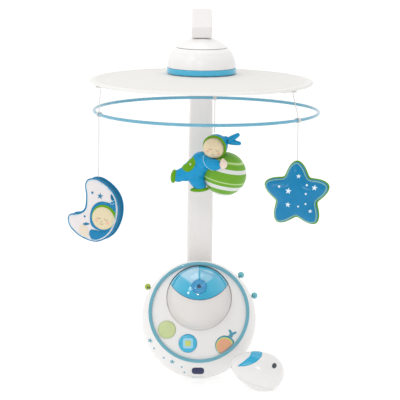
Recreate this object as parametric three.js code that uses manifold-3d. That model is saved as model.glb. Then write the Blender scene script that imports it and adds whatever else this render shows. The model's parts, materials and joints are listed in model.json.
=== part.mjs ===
// Crib mobile that clamps to a crib rail, as separate parts. Millimetres, +Z up.
// The origin is the centre of the bracket face that rests against the rail. The crib is towards -Y.
import * as THREE from 'three';
import { mergeVertices } from 'three/addons/utils/BufferGeometryUtils.js';
import Module from 'manifold-3d';

const wasm = await Module();
wasm.setup();

const DEG = Math.PI / 180;
const GAP = 0.3; // clearance between pieces that touch

// Rail bracket and clamp
const BRACKET = {
  width: 60, plate: 6, low: -40, high: 40, bridge: 6, legInner: 38, legOuter: 44, legLow: -30,
};
const PAD = { face: 24, thickness: 5, radius: 11 };
const SCREW = { radius: 4, end: 68 };
const KNOB = { radius: 17, depth: 14 };

// Mast and arm
const MAST_Y = -18;
const MAST_DEPTH = 20;
const MAST_WALL = 2.5;
const MAST_JOINT = 372;
const MAST_WIDTHS = [[-5, 36], [85, 36.4], [145, 37.2], [230, 35.6], [300, 33.4], [MAST_JOINT, 31]];
const ARM = { width: 27.6, height: 15.6, top: 446, tip: -281, elbow: 10, lift: 2.1, foot: 30.6, blend: 50 };
const SOCKET = { low: -8, high: 62, width: 48, front: -31.7, back: -6.3 };

// Projector base. Its outline is a shallow ellipse, and its face leans back
const SEAM_Y = -54.7;
const BASE = { halfWidth: 83, halfHeight: 86.5, back: -32, flat: 68, wall: 2.5, sides: 40 };
const FACE = { radius: 72.2, y: -78, z: 15.2, lean: 12 };
const TRIM = { inner: 67.8, outer: 72.8, low: 0.9, high: 3.9 };
const PANEL = { low: -1.9, rim: 0.6, crown: 3.6, radius: 72.2 };
const BALL = { up: 20, depth: -9, radius: 47.5, wall: 2.5, behind: 8 };
const BALL_HOLE = [[0, -9], [47.9, -9], [47.4, -1.9], [46.5, 3], [46.2, 9], [0, 9]]; // follows the ball
const WINDOW = { y: 65.4, radius: 48.4 }; // a round bar, square to the face, parts the ball's window off
const LENS = { tilt: 20.8, radius: 11 };
const PLAY_BUTTON = { x: -45.8, y: -25.5, radius: 13 };
const MODE_BUTTON = { x: -15.4, y: -44.8, radius: 13.4 };
const NIGHT_BUTTON = { x: 37.9, y: -47.1, radius: 14, clip: 66.8 };
const STEM = { radius: 3, foot: -10.4, flange: 1 }; // what each of the three buttons stands on
const SLIDERS = [['volume_slider', 148.4], ['timer_slider', 47.2], ['brightness_slider', 23.1]];
const SLIDER = { y: -49, radius: 4.8, stem: 1.8, travel: 7, height: 7.8 };
const CELL = { radius: 7.1, length: 50, y: -43, heights: [-54, -38.5, -23] };
const COVER = { halfWidth: 30.6, halfHeight: 23.1, z: -38.5 };
const BADGE = { x: -0.6, z: -70.2, width: 18, height: 11.6 };

// Motor head and carousel, which turns about a vertical axis
const AXIS_Y = -268;
const GEAR = { module: 1, teeth: 36, pinionTeeth: 9, low: 386.3, high: 389.3 };
const CANOPY = { inner: 142, outer: 150.3, low: 368.7, high: 373.4 };
const SPOKE = { low: 364.3, high: 368.3, width: 8, tip: 149 };
const RING = { radius: 151, tube: 2.5, z: 331, x: 7 };
const LOOP = { inner: 3.15, outer: 4.1, half: 3 };
const STRING = 0.6;

// Toys: the angle of each one's spoke, the angle of its loop on the ring, and the height of its top
const TOYS = {
  moon: { spoke: 205, ring: 199, top: 246 },
  doll: { spoke: 84.3, ring: 85.3, top: 281 },
  star: { spoke: -35, ring: -37, top: 278.5 },
};

// Remote control, an egg that lies on its side
const EGG = {
  x: 84, y: -124.5, z: -58.3, half: 39, girth: 27.4, taper: 0.2, tilt: 18, floor: -86.5, wall: 2, seam: -17,
};

// ---------- Materials ----------

function finish(color, roughness, opacity = 1) {
  const transparent = opacity < 1;
  return new THREE.MeshStandardMaterial({ color, roughness, metalness: 0, opacity, transparent });
}

const white = finish(0xf1efec, 0.35);
const softWhite = finish(0xf0efeb, 0.85);
const blue = finish(0x55b4dc, 0.3);
const clearBlue = finish(0x3aaedb, 0.08, 0.7);
const teal = finish(0x6fb3c6, 0.3, 0.85);
const green = finish(0xb9d46a, 0.25, 0.85);
const navy = finish(0x1d2b57, 0.2);
const satinBlue = finish(0x1f8fd0, 0.4);
const satinGreen = finish(0x86b52f, 0.5);
const cotton = finish(0xf2eeee, 0.8);
const cord = finish(0xf4f3f1, 0.9);
const darkPlastic = finish(0x3c4144, 0.5);
const board = finish(0x2e6b3f, 0.6);
const steel = new THREE.MeshStandardMaterial({ color: 0xb9bcc0, roughness: 0.35, metalness: 1 });

// ---------- Geometry helpers ----------

function welded(geometry) {
  const bare = geometry.clone();
  bare.deleteAttribute('normal');
  bare.deleteAttribute('uv');
  const merged = mergeVertices(bare, 1e-3);
  const index = merged.index.array;
  const p = merged.attributes.position;
  const kept = [];
  const corner = [0, 1, 2].map(() => new THREE.Vector3());
  let volume = 0;
  for (let i = 0; i < index.length; i += 3) {
    const [a, b, c] = index.slice(i, i + 3);
    if (a === b || b === c || c === a) continue;
    corner.forEach((v, k) => v.fromBufferAttribute(p, [a, b, c][k]));
    volume += corner[0].dot(corner[1].clone().cross(corner[2]));
    kept.push([a, b, c]);
  }
  merged.setIndex(kept.flatMap(([a, b, c]) => (volume > 0 ? [a, b, c] : [a, c, b])));
  return merged;
}

function solid(geometry) {
  const closed = welded(geometry);
  const vertProperties = new Float32Array(closed.attributes.position.array);
  const triVerts = new Uint32Array(closed.index.array);
  return new wasm.Manifold(new wasm.Mesh({ numProp: 3, vertProperties, triVerts }));
}

function geometryOf(manifold) {
  const { vertProperties, triVerts } = manifold.getMesh();
  const geometry = new THREE.BufferGeometry();
  geometry.setAttribute('position', new THREE.BufferAttribute(new Float32Array(vertProperties), 3));
  geometry.setIndex(new THREE.BufferAttribute(new Uint32Array(triVerts), 1));
  return geometry;
}

// A closed skin over rings of points: capped at both ends, or joined end to end when looped
function skin(rings, looped = false) {
  const n = rings[0].length;
  const points = rings.flat();
  const index = [];
  const last = looped ? rings.length : rings.length - 1;
  for (let r = 0; r < last; r++) {
    const a = r * n;
    const b = ((r + 1) % rings.length) * n;
    for (let i = 0; i < n; i++) {
      const j = (i + 1) % n;
      index.push(a + i, a + j, b + j, a + i, b + j, b + i);
    }
  }
  if (!looped) {
    for (const [start, flip] of [[0, true], [(rings.length - 1) * n, false]]) {
      const centre = new THREE.Vector3();
      for (let i = 0; i < n; i++) centre.addScaledVector(points[start + i], 1 / n);
      points.push(centre);
      const c = points.length - 1;
      for (let i = 0; i < n; i++) {
        const j = (i + 1) % n;
        index.push(c, start + (flip ? j : i), start + (flip ? i : j));
      }
    }
  }
  const geometry = new THREE.BufferGeometry().setFromPoints(points);
  geometry.setIndex(index);
  return welded(geometry);
}

// A profile of [radius, height] turned about +Z
function turned(profile, segments = 36) {
  const points = profile.map(([r, h]) => new THREE.Vector2(r, h));
  return welded(new THREE.LatheGeometry(points, segments).rotateX(90 * DEG));
}

function cylinder(radius, low, high, segments = 24) {
  return turned([[0, low], [radius, low], [radius, high], [0, high]], segments);
}

function box(low, high) {
  const size = high.map((v, k) => v - low[k]);
  const centre = high.map((v, k) => (v + low[k]) / 2);
  return new THREE.BoxGeometry(...size).translate(...centre);
}

function ball(radius, centre = [0, 0, 0], wide = 24, high = 16) {
  return new THREE.SphereGeometry(radius, wide, high).rotateX(90 * DEG).translate(...centre);
}

// Turns what is built about +Z so that it lies along a direction, and moves it to a point
function aim(geometry, direction, place = [0, 0, 0]) {
  const turn = new THREE.Quaternion().setFromUnitVectors(
    new THREE.Vector3(0, 0, 1), new THREE.Vector3(...direction).normalize());
  return geometry.applyQuaternion(turn).translate(...place);
}

function rod(from, to, radius, sides = 8, steps = 2) {
  const section = new THREE.Shape();
  for (let i = 0; i < sides; i++) {
    const angle = (2 * Math.PI * i) / sides;
    section[i ? 'lineTo' : 'moveTo'](radius * Math.cos(angle), radius * Math.sin(angle));
  }
  section.closePath();
  const extrudePath = new THREE.LineCurve3(from, to);
  return welded(new THREE.ExtrudeGeometry(section, { steps, extrudePath }));
}

// A rounded rectangle with its middle at 0, 0
function roundedBox(width, height, corner) {
  const [x, y, r] = [width / 2, height / 2, corner];
  const shape = new THREE.Shape();
  shape.absarc(x - r, y - r, r, 0, 90 * DEG);
  shape.absarc(-x + r, y - r, r, 90 * DEG, 180 * DEG);
  shape.absarc(-x + r, -y + r, r, 180 * DEG, 270 * DEG);
  shape.absarc(x - r, -y + r, r, 270 * DEG, 360 * DEG);
  return shape;
}

function extruded(shape, low, high, curveSegments = 8) {
  const depth = high - low;
  const geometry = new THREE.ExtrudeGeometry(shape, { depth, bevelEnabled: false, curveSegments });
  return welded(geometry.translate(0, 0, low));
}

// A clockwise outline of points, moved outwards
function grown(points, by) {
  return points.map((point, i) => {
    const next = points[(i + 1) % points.length];
    const along = next.clone().sub(points.at(i - 1)).normalize();
    return new THREE.Vector2(point.x - along.y * by, point.y + along.x * by);
  });
}

function cut(geometry, ...tools) {
  return geometryOf(tools.reduce((body, tool) => body.subtract(solid(tool)), solid(geometry)));
}

function joined(...pieces) {
  return geometryOf(pieces.map(solid).reduce((a, b) => a.add(b)));
}

const polar = (radius, degrees) => [radius * Math.cos(degrees * DEG), radius * Math.sin(degrees * DEG)];

const mobile = new THREE.Group();

function part(name, geometry, material, parent = mobile) {
  const mesh = new THREE.Mesh(geometry, material);
  mesh.name = name;
  parent.add(mesh);
  return mesh;
}

// ---------- Rail clamp ----------

function clamp() {
  const { width, plate, low, high, bridge, legInner, legOuter, legLow } = BRACKET;
  const side = new THREE.Shape([
    [-plate, low], [0, low], [0, high - bridge], [legInner, high - bridge], [legInner, legLow],
    [legOuter, legLow], [legOuter, high - 4], [legOuter - 4, high], [-plate, high],
  ].map(([y, z]) => new THREE.Vector2(y, z)));
  const body = extruded(side, -width / 2, width / 2).rotateX(90 * DEG).rotateZ(90 * DEG);
  const hole = aim(cylinder(SCREW.radius + 0.4, legInner - 3, legOuter + 3, 16), [0, 1, 0]);
  part('rail_bracket', cut(body, hole), white);

  const back = PAD.face + PAD.thickness;
  const pad = turned([[0, PAD.face], [PAD.radius - 1, PAD.face], [PAD.radius, PAD.face + 1],
    [PAD.radius, back], [0, back]], 28);
  part('clamp_pad', aim(pad, [0, 1, 0]), darkPlastic);
  const rodPiece = cylinder(SCREW.radius, back + GAP, SCREW.end, 16);
  part('clamp_screw', aim(rodPiece, [0, 1, 0]), steel);

  const wing = new THREE.Shape();
  const lobes = 6;
  const steps = 48;
  for (let i = 0; i < steps; i++) {
    const angle = (360 * i) / steps;
    const [x, y] = polar(KNOB.radius - 1.6 * (1 - Math.cos(lobes * angle * DEG)) / 2, angle);
    wing[i ? 'lineTo' : 'moveTo'](x, y);
  }
  wing.closePath();
  const knob = extruded(wing, SCREW.end - 8, SCREW.end - 8 + KNOB.depth);
  const bore = cylinder(SCREW.radius + GAP, SCREW.end - 20, SCREW.end + GAP, 16);
  part('clamp_knob', aim(cut(knob, bore), [0, 1, 0]), blue);
}

// ---------- Mast, socket and arm ----------

// A ring of points around a rounded rectangle, mapped by a function of its two axes
function sectionRing(width, height, corner, place) {
  return roundedBox(width, height, corner).getPoints(2).slice(0, -1).map(({ x, y }) => place(x, y));
}

function mastRings(inset) {
  const widths = new THREE.SplineCurve(MAST_WIDTHS.map(([z, w]) => new THREE.Vector2(z, w)));
  return widths.getPoints(6).map(({ x: z, y: width }) => sectionRing(
    width - 2 * inset, MAST_DEPTH - 2 * inset, 6 - inset, (x, y) => new THREE.Vector3(x, MAST_Y + y, z)));
}

function armRings(inset) {
  const { width, height, top, tip, elbow, lift } = ARM;
  const rise = top - height / 2; // the arm's own height at its tip, and it is a little higher at the elbow
  const foot = MAST_JOINT + GAP;
  const bend = rise + lift - elbow;
  const line = [[MAST_Y, foot, 0], [MAST_Y, foot + 25, 0], [MAST_Y, bend, 0]];
  for (let i = 1; i <= 5; i++) {
    const angle = 18 * i * DEG;
    line.push([MAST_Y - elbow * (1 - Math.cos(angle)), bend + elbow * Math.sin(angle), 18 * i]);
  }
  const slope = lift / (MAST_Y - elbow - tip);
  for (const y of [-110, -200, tip + inset]) line.push([y, rise + slope * (y - tip), 90]);
  return line.map(([y, z, turn]) => {
    const along = turn / 90;
    const wide = THREE.MathUtils.lerp(ARM.foot, width, Math.min(1, (z - foot) / ARM.blend));
    const deep = THREE.MathUtils.lerp(MAST_DEPTH, height, along);
    const [cos, sin] = [Math.cos(turn * DEG), Math.sin(turn * DEG)];
    return sectionRing(wide - 2 * inset, deep - 2 * inset, 4 - inset,
      (x, v) => new THREE.Vector3(x, y + v * cos, z + v * sin));
  });
}

function mastAndArm() {
  part('mast', skin([...mastRings(0), ...mastRings(MAST_WALL).reverse()], true), white);
  part('arm', skin([...armRings(2.2).reverse(), ...armRings(0)]), white);

  const { low, high, width, front, back } = SOCKET;
  const middle = (front + back) / 2;
  const sleeve = extruded(roundedBox(width, back - front, 5), low, high).translate(0, middle, 0);
  const pocket = extruded(roundedBox(36.7 + 2 * GAP, MAST_DEPTH + 2 * GAP, 5), low + 2.6, high + 5, 3);
  part('mast_socket', cut(sleeve, pocket.translate(0, MAST_Y, 0)), white);
}

// ---------- Projector base ----------

const lean = FACE.lean * DEG;
const faceUp = new THREE.Vector3(0, Math.sin(lean), Math.cos(lean));
const faceOut = new THREE.Vector3(0, -Math.cos(lean), Math.sin(lean));
const faceCentre = new THREE.Vector3(0, FACE.y, FACE.z);
const face = new THREE.Group(); // local +Z points out of the face, and +Y up along it
face.position.copy(faceCentre);
face.rotation.x = 90 * DEG - lean;
mobile.add(face);

function baseRing(inset, t) {
  const ring = [];
  const sides = BASE.sides;
  for (let i = 0; i < sides; i++) {
    const [cos, sin] = polar(1, (360 * i) / sides);
    const seam = new THREE.Vector3((BASE.halfWidth - inset) * cos, SEAM_Y, (BASE.halfHeight - inset) * sin);
    const rim = faceCentre.clone().addScaledVector(faceOut, PANEL.low - GAP);
    const radius = FACE.radius - (inset && 4);
    rim.addScaledVector(faceUp, radius * sin);
    rim.x += radius * cos;
    const bulge = seam.clone().multiplyScalar(1.006);
    bulge.y = SEAM_Y + 0.6 * (rim.y - SEAM_Y);
    seam.multiplyScalar((1 - t) ** 2);
    ring.push(seam.addScaledVector(bulge, 2 * t * (1 - t)).addScaledVector(rim, t * t));
  }
  return ring;
}

const BASE_STEPS = [0, 0.25, 0.5, 0.75, 1];

function frontHousing() {
  const outer = BASE_STEPS.map((t) => baseRing(0, t));
  const inner = BASE_STEPS.map((t) => baseRing(BASE.wall, t));
  const pill = (grow) => extruded(
    roundedBox(BADGE.width + grow, BADGE.height + grow, BADGE.height / 2 - 0.6), 60, 100, 3)
    .rotateX(90 * DEG).translate(BADGE.x, 0, BADGE.z);
  const shell = solid(skin([...outer, ...inner.reverse()], true));
  part('front_housing', geometryOf(shell.subtract(solid(pill(2 * GAP)))), white);
  part('infrared_window', geometryOf(shell.intersect(solid(pill(0)))), navy);
}

const sliderStart = (angle) => {
  const reach = [-1, 0, 1].map((side) => {
    const [cos, sin] = polar(1, angle + side * SLIDER.travel);
    return 1 / Math.hypot(cos / BASE.halfWidth, sin / BASE.halfHeight);
  });
  return Math.max(...reach) + 0.4;
};

function rearHousing() {
  const { halfWidth, halfHeight, back, flat, wall } = BASE;
  const bowl = [[halfWidth, SEAM_Y + GAP], [81.8, -46], [77, -39], [73, -34.6], [flat, back]];
  const rings = (inset) => bowl.map(([radius, y], k) => {
    const ring = [];
    const depth = k === bowl.length - 1 ? y - inset : y;
    for (let i = 0; i < BASE.sides; i++) {
      const [cos, sin] = polar(radius - inset, (360 * i) / BASE.sides);
      ring.push(new THREE.Vector3(cos, depth, (sin * halfHeight) / halfWidth));
    }
    return ring;
  });
  const inner = rings(wall);
  inner.splice(3, 1);
  const tools = [box(
    [-COVER.halfWidth - GAP, back - 6, COVER.z - COVER.halfHeight - GAP],
    [COVER.halfWidth + GAP, back + 5, COVER.z + COVER.halfHeight + GAP])];
  for (let k = 0; k < 4; k++) tools.push(box([-57, back - 6, -37 + 7 * k], [-38, back + 5, -34.5 + 7 * k]));
  for (const [, angle] of SLIDERS) {
    const half = 84 * Math.sin(SLIDER.travel * DEG) + SLIDER.stem + 0.8;
    const slot = box([70, SEAM_Y - 5, -half], [95, SLIDER.y + 2.7, half]);
    tools.push(slot.rotateY(-angle * DEG));
  }
  part('rear_housing', cut(skin([...inner.reverse(), ...rings(0)]), ...tools), white);
}

function sliders() {
  for (const [name, angle] of SLIDERS) {
    const start = sliderStart(angle);
    const knob = turned([[0, 74], [SLIDER.stem, 74], [SLIDER.stem, start], [SLIDER.radius - 1.4, start],
      [SLIDER.radius, start + 1.8], [SLIDER.radius, start + 4], [3.2, start + 6.8],
      [0, start + SLIDER.height]], 14);
    const [x, z] = polar(1, angle);
    part(name, aim(knob, [x, 0, z], [0, SLIDER.y, 0]), name === 'volume_slider' ? green : blue);
  }
}

const crownAt = (radius) => PANEL.rim + (PANEL.crown - PANEL.rim) * (1 - (radius / TRIM.inner) ** 2);

// The round night light, cut off where it meets the trim ring
function nightLight(radius) {
  const head = cylinder(radius, -40, 40, 32);
  const clip = cylinder(NIGHT_BUTTON.clip - (NIGHT_BUTTON.radius - radius), -40, 40, 56);
  return solid(head.translate(NIGHT_BUTTON.x, NIGHT_BUTTON.y, 0)).intersect(solid(clip));
}

function facePanel() {
  const profile = [[0, PANEL.low], [PANEL.radius, PANEL.low], [PANEL.radius, PANEL.rim],
    [TRIM.inner, PANEL.rim]];
  for (const radius of [50, 25]) profile.push([radius, crownAt(radius)]);
  profile.push([0, PANEL.crown]);
  const holes = [turned(BALL_HOLE, 48).translate(0, BALL.up, 0)];
  for (const { x, y, radius } of [PLAY_BUTTON, MODE_BUTTON]) {
    holes.push(cylinder(radius + GAP, -9, 9, 24).translate(x, y, 0));
  }
  const night = nightLight(NIGHT_BUTTON.radius + GAP);
  const panel = holes.reduce((body, hole) => body.subtract(solid(hole)), solid(turned(profile, 44)));
  part('face_panel', geometryOf(panel.subtract(night)), white, face);

  const { inner, outer, low, high } = TRIM;
  const band = [[inner, low], [outer, low], [outer, high - 1.4], [outer - 1.4, high], [inner + 1.4, high],
    [inner, high - 1.4], [inner, low]];
  part('face_trim_ring', turned(band, 48), teal, face);
}

function buttons() {
  const rest = PANEL.low - 1.2;
  for (const [name, { x, y, radius }, material] of [
    ['play_button', PLAY_BUTTON, green], ['mode_button', MODE_BUTTON, clearBlue]]) {
    const top = crownAt(Math.hypot(x, y) - radius);
    const flange = radius + STEM.flange;
    const cap = turned([[0, STEM.foot], [STEM.radius, STEM.foot], [STEM.radius, rest - 1.6],
      [flange, rest - 1.6], [flange, rest], [radius - GAP, rest], [radius - GAP, top], [radius - 2.2, top + 1.4],
      [0, top + 2.2]], 24);
    part(name, cap.translate(x, y, 0), material, face);
  }
  const { x, y, radius } = NIGHT_BUTTON;
  const wide = radius + 2;
  const top = turned([[0, rest - 4], [wide, rest - 4], [wide, 1.2], [radius - 3, 2.4], [0, 3.4]], 32);
  const stem = cylinder(STEM.radius, STEM.foot, rest - 3.9, 12);
  const head = solid(top.translate(x, y, 0)).intersect(nightLight(radius));
  part('night_light_button', geometryOf(head.add(solid(stem.translate(x, y, 0)))), clearBlue, face);
}

function projectorBall() {
  const { up, depth, radius, wall, behind } = BALL;
  const centre = [0, up, depth];
  const lensWay = [0, Math.sin(LENS.tilt * DEG), Math.cos(LENS.tilt * DEG)];
  const outer = solid(ball(radius, centre, 30, 16));
  const hollow = outer.subtract(solid(ball(radius - wall, centre, 16, 10)));
  const front = solid(box([-90, -90, depth - behind], [90, 110, 90]));
  const above = (grow) => solid(cylinder(WINDOW.radius + grow, -60, 60, 72).translate(0, WINDOW.y, 0));
  const cover = hollow.intersect(front);
  let shell = cover.subtract(above(GAP / 2));
  for (const side of [-1, 1]) {
    const pin = aim(cylinder(3, radius - 1.6, radius + 6.2, 16), [side, 0, 0], centre);
    shell = shell.add(solid(pin));
    const block = box([-2.5, up - 7, depth - 7], [2.5, up + 7, PANEL.low - GAP]).translate(side * 52, 0, 0);
    const hole = aim(cylinder(3.5, 40, 60, 16), [side, 0, 0], centre);
    part(side < 0 ? 'ball_bearing_left' : 'ball_bearing_right', cut(block, hole), white, face);
  }
  part('projector_ball_shell', geometryOf(shell), white, face);

  const lensHole = aim(cylinder(LENS.radius + GAP, 30, 60, 28), lensWay, centre);
  const window = cover.intersect(above(-GAP / 2)).subtract(solid(lensHole));
  part('projector_window', geometryOf(window), clearBlue, face);
  const lens = turned([[0, 43], [LENS.radius, 43], [LENS.radius, radius - 1.2], [8, radius - 0.4],
    [7, radius], [3.4, radius - 0.6], [0, radius - 0.2]], 28);
  part('projector_lens', aim(lens, lensWay, centre), clearBlue, face);

  const carrier = cylinder(radius - wall - 3, 0, 2.2, 28).translate(0, up, depth - behind + 0.5);
  const barrel = aim(cylinder(9, -4, 35, 16), lensWay, centre);
  part('projector_lamp', joined(carrier, barrel), darkPlastic, face);
}

function baseInternals() {
  const plate = solid(cylinder(62, -14, -12.4, 48));
  const upper = solid(box([-90, -8, -40], [90, 90, 10]));
  const round = solid(cylinder(50, -40, 10, 40).translate(0, BALL.up, 0));
  part('circuit_board', geometryOf(plate.subtract(upper).subtract(round)), board, face);

  const cone = turned([[0, -52], [18, -52], [18, -49], [9, -38], [9, -36], [0, -36]], 28);
  part('speaker', aim(cone, [0, 1, 0], [-48, 0, -26]), darkPlastic);
  CELL.heights.forEach((height, k) => {
    const half = CELL.length / 2;
    const cell = turned([[0, -half], [CELL.radius, -half], [CELL.radius, half - 1.4], [2.6, half - 1.4],
      [2.6, half], [0, half]], 12);
    part(`battery_cell_${k + 1}`, aim(cell, [1, 0, 0], [0, CELL.y, height]), steel);
  });
  const { halfWidth, halfHeight, z } = COVER;
  const cover = box([-halfWidth, -34.3, z - halfHeight], [halfWidth, BASE.back, z + halfHeight]);
  part('battery_cover', cover, white);
}

// ---------- Motor head ----------

function gearOutline(teeth) {
  const { module } = GEAR;
  const radius = (module * teeth) / 2;
  const pitch = 360 / teeth;
  const shape = new THREE.Shape();
  const flank = [[-0.3, -1.15], [-0.12, 0.8], [0.12, 0.8], [0.3, -1.15]];
  for (let k = 0; k < teeth; k++) {
    flank.forEach(([turn, rise], i) => {
      const [x, y] = polar(radius + rise * module, (k + turn) * pitch);
      shape[k || i ? 'lineTo' : 'moveTo'](x, y);
    });
  }
  shape.closePath();
  return shape;
}

function motorHead() {
  const head = new THREE.Group();
  head.position.set(0, AXIS_Y, 0);
  mobile.add(head);
  part('dome_cap', turned([[0, 430.1], [12, 429.6], [18, 427.4], [26, 423.6], [34.5, 417.3], [32.1, 417.3],
    [22, 423.2], [11, 427.2], [0, 427.6]], 32), white, head);
  part('dome_shell', turned([[46, 390.3], [45.6, 396], [43.8, 404], [39.9, 411.5], [34.9, 416.9],
    [32.4, 416.4], [37.6, 409.8], [43.2, 396], [43.5, 390.3], [46, 390.3]], 32), white, head);
  part('dome_band', turned([[43.9, 382.5], [46.4, 382.5], [46.9, 386], [46.4, 390], [43.9, 390],
    [43.9, 382.5]], 32), blue, head);
  part('head_floor', turned([[4.6, 383], [43.5, 383], [43.5, 385.4], [4.6, 385.4],
    [4.6, 383]], 32), white, head);

  const spacing = (GEAR.module * (GEAR.teeth + GEAR.pinionTeeth)) / 2;
  const motor = cylinder(11, GEAR.high + 1.9, 409, 24).translate(spacing, 0, 0);
  const foot = box([29.5, -9, 385.7], [33, 9, 392]);
  part('head_motor', joined(motor, foot), darkPlastic, head);
  const pinion = extruded(gearOutline(GEAR.pinionTeeth), GEAR.low, GEAR.high + 1.2);
  part('motor_pinion', pinion.translate(spacing, 0, 0), steel, head);
  const wheel = extruded(gearOutline(GEAR.teeth), GEAR.low, GEAR.high);
  part('drive_gear', joined(wheel, cylinder(4, 357, GEAR.low + 1, 20)), white, head);
}

// ---------- Carousel ----------

const carousel = new THREE.Group();
carousel.position.set(0, AXIS_Y, 0);
mobile.add(carousel);

function knotOf(toy) {
  const [x, y] = polar(RING.radius, TOYS[toy].ring);
  return new THREE.Vector3(x + RING.x, y, RING.z);
}

function canopyAndRing() {
  const { low, high, width, tip } = SPOKE;
  let spider = solid(turned([[4.4, low], [30, low], [30, high + 1.6], [16, 373], [16, 378.9], [4.4, 378.9],
    [4.4, low]], 32));
  for (const { spoke } of Object.values(TOYS)) {
    const bar = solid(box([26, -width / 2, low], [138, width / 2, high]));
    const pad = solid(box([130, -width / 2, 366.2], [tip, width / 2, high]));
    spider = spider.add(bar.add(pad).rotate([0, 0, spoke]));
  }
  part('carousel_spider', geometryOf(spider), white, carousel);
  part('hub_nut', turned([[4.4, 359.2], [9, 359.2], [10, 361], [10, 364], [4.4, 364], [4.4, 359.2]], 24),
    white, carousel);

  const top = [[5, 381.6], [47, 381.6], [CANOPY.inner - 0.4, 372.7]];
  const under = [...top].reverse().map(([r, z]) => [r, z - 1.2]);
  part('canopy_cloth', turned([...top, ...under, top[0]], 40), softWhite, carousel);
  const { inner, outer, low: edgeLow, high: edgeHigh } = CANOPY;
  const edge = [[inner, edgeLow], [outer - 1.2, edgeLow], [outer, edgeLow + 1.6], [outer, edgeHigh - 1.6],
    [outer - 1.4, edgeHigh], [inner, edgeHigh], [inner, edgeLow]];
  part('canopy_rim', turned(edge, 40), softWhite, carousel);
  part('hanging_ring', welded(new THREE.TorusGeometry(RING.radius, RING.tube, 6, 54))
    .translate(RING.x, 0, RING.z), teal, carousel);
}

function strings() {
  for (const [toy, { spoke, ring, top }] of Object.entries(TOYS)) {
    const knot = knotOf(toy);
    const [x, y] = polar(147, spoke);
    const eyelet = new THREE.Vector3(x, y, 365.9);
    const above = knot.clone().setZ(RING.z + LOOP.outer + GAP);
    part(`upper_string_${toy}`, rod(eyelet, above, STRING), cord, carousel);
    const sleeve = turned([[LOOP.inner, -LOOP.half], [LOOP.outer, -LOOP.half], [LOOP.outer, LOOP.half],
      [LOOP.inner, LOOP.half], [LOOP.inner, -LOOP.half]], 12);
    const [alongX, alongY] = polar(1, ring + 90);
    part(`ring_loop_${toy}`, aim(sleeve, [alongX, alongY, 0], knot.toArray()), cord, carousel);
    const below = knot.clone().setZ(RING.z - LOOP.outer - GAP);
    part(`lower_string_${toy}`, rod(below, knot.clone().setZ(top + GAP), STRING), cord, carousel);
  }
}

// ---------- Toys ----------

// A padded shape: its outline shrinks towards a middle point at the front and the back
function pillow(outline, middle, halfDepth) {
  const levels = [[-1, 0.5], [-0.75, 0.84], [0, 1], [0.75, 0.84], [1, 0.5]];
  return skin(levels.map(([depth, scale]) => outline.map(({ x, y }) => new THREE.Vector3(
    middle.x + (x - middle.x) * scale, -depth * halfDepth, middle.y + (y - middle.y) * scale))));
}

// A toy hangs from the middle of its top, which is the group's origin
function toyGroup(toy, turn = 0) {
  const group = new THREE.Group();
  group.position.copy(knotOf(toy)).setZ(TOYS[toy].top);
  group.rotation.z = turn * DEG;
  carousel.add(group);
  return group;
}

const MOON_OUTLINE = [[-12, -1.5], [1, 0], [16, -7.5], [28, -20], [33.5, -36.5], [31, -57], [20, -76],
  [1, -86], [-21, -81.5], [-37, -70], [-42, -58], [-38.5, -50.5], [-26, -47.5], [-17, -41], [-15, -25],
  [-16.5, -10]];

function moonToy() {
  const points = [...MOON_OUTLINE, MOON_OUTLINE[0]].map(([x, z]) => new THREE.Vector2(x, z));
  const outline = new THREE.SplineCurve(points).getPoints(44).slice(0, -1);
  part('moon_toy', pillow(outline, new THREE.Vector2(8, -52), 14), cotton, toyGroup('moon', -22));
}

function starToy() {
  const [tip, valley] = [46.2, 28.6];
  const outline = [];
  const steps = 45;
  for (let i = 0; i < steps; i++) {
    const angle = (360 * i) / steps + 90;
    const phase = Math.abs(((angle - 90) % 72) / 36 - 1); // 1 at a tip, 0 at a valley
    const radius = valley + (tip - valley) * Math.sin(90 * phase * DEG) ** 2;
    outline.push(new THREE.Vector2(...polar(radius, angle)));
  }
  const group = toyGroup('star', -14);
  const geometry = pillow(outline, new THREE.Vector2(0, 0), 15);
  part('star_toy', geometry.translate(0, 0, -tip), satinBlue, group);
}

function dollToy() {
  const lump = ([x, y, z], [a, b, c], turn = 0) => solid(
    ball(1, [0, 0, 0], 10, 7).scale(a, b, c).rotateY(turn * DEG).translate(x, y, z));
  const [ballCentre, ballRadius] = [[14.7, 5, -58.6], 31.2];
  const [wide, high] = [20, 12];
  const pieces = [
    lump([0.7, -5, -18], [17.5, 16, 17.5]), // head
    lump([-17, -4, -43], [20, 14, 16], 20), // chest
    lump([-31, -2, -52], [15, 13, 14]), // hips
    lump([-47, -3, -60], [14, 9, 9.5], 8), // raised leg
    lump([-22, -6, -72], [12, 9, 10]), // lower leg
    lump([-2, -18, -43], [15, 8, 9], 12), // arm
    lump([13, -21, -41], [6.5, 5, 7]), // hand
    lump([26, -5, -6], [14, 5, 5], -20), // tips of the hood
  ];
  const room = solid(ball(ballRadius + 0.5, ballCentre, wide, high));
  const doll = pieces.reduce((a, b) => a.add(b)).subtract(room);
  const group = toyGroup('doll');
  part('doll_toy', geometryOf(doll), satinBlue, group);
  part('striped_ball', welded(ball(ballRadius, ballCentre, wide, high)), satinGreen, group);
}

// ---------- Remote control ----------

const eggTilt = EGG.tilt * DEG;

// An egg about its own long axis, with its narrow end towards the upper left, shrunk by an inset
function egg(inset, wide, high) {
  const shape = new THREE.SphereGeometry(1, wide, high).rotateX(90 * DEG).rotateY(-90 * DEG);
  const p = shape.attributes.position;
  for (let i = 0; i < p.count; i++) {
    const along = p.getX(i);
    const girth = (EGG.girth - inset) * (1 + EGG.taper * along);
    p.setXYZ(i, along * (EGG.half - inset), p.getY(i) * girth, p.getZ(i) * girth);
  }
  return shape.rotateY(eggTilt).translate(EGG.x, EGG.y, EGG.z);
}

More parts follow.
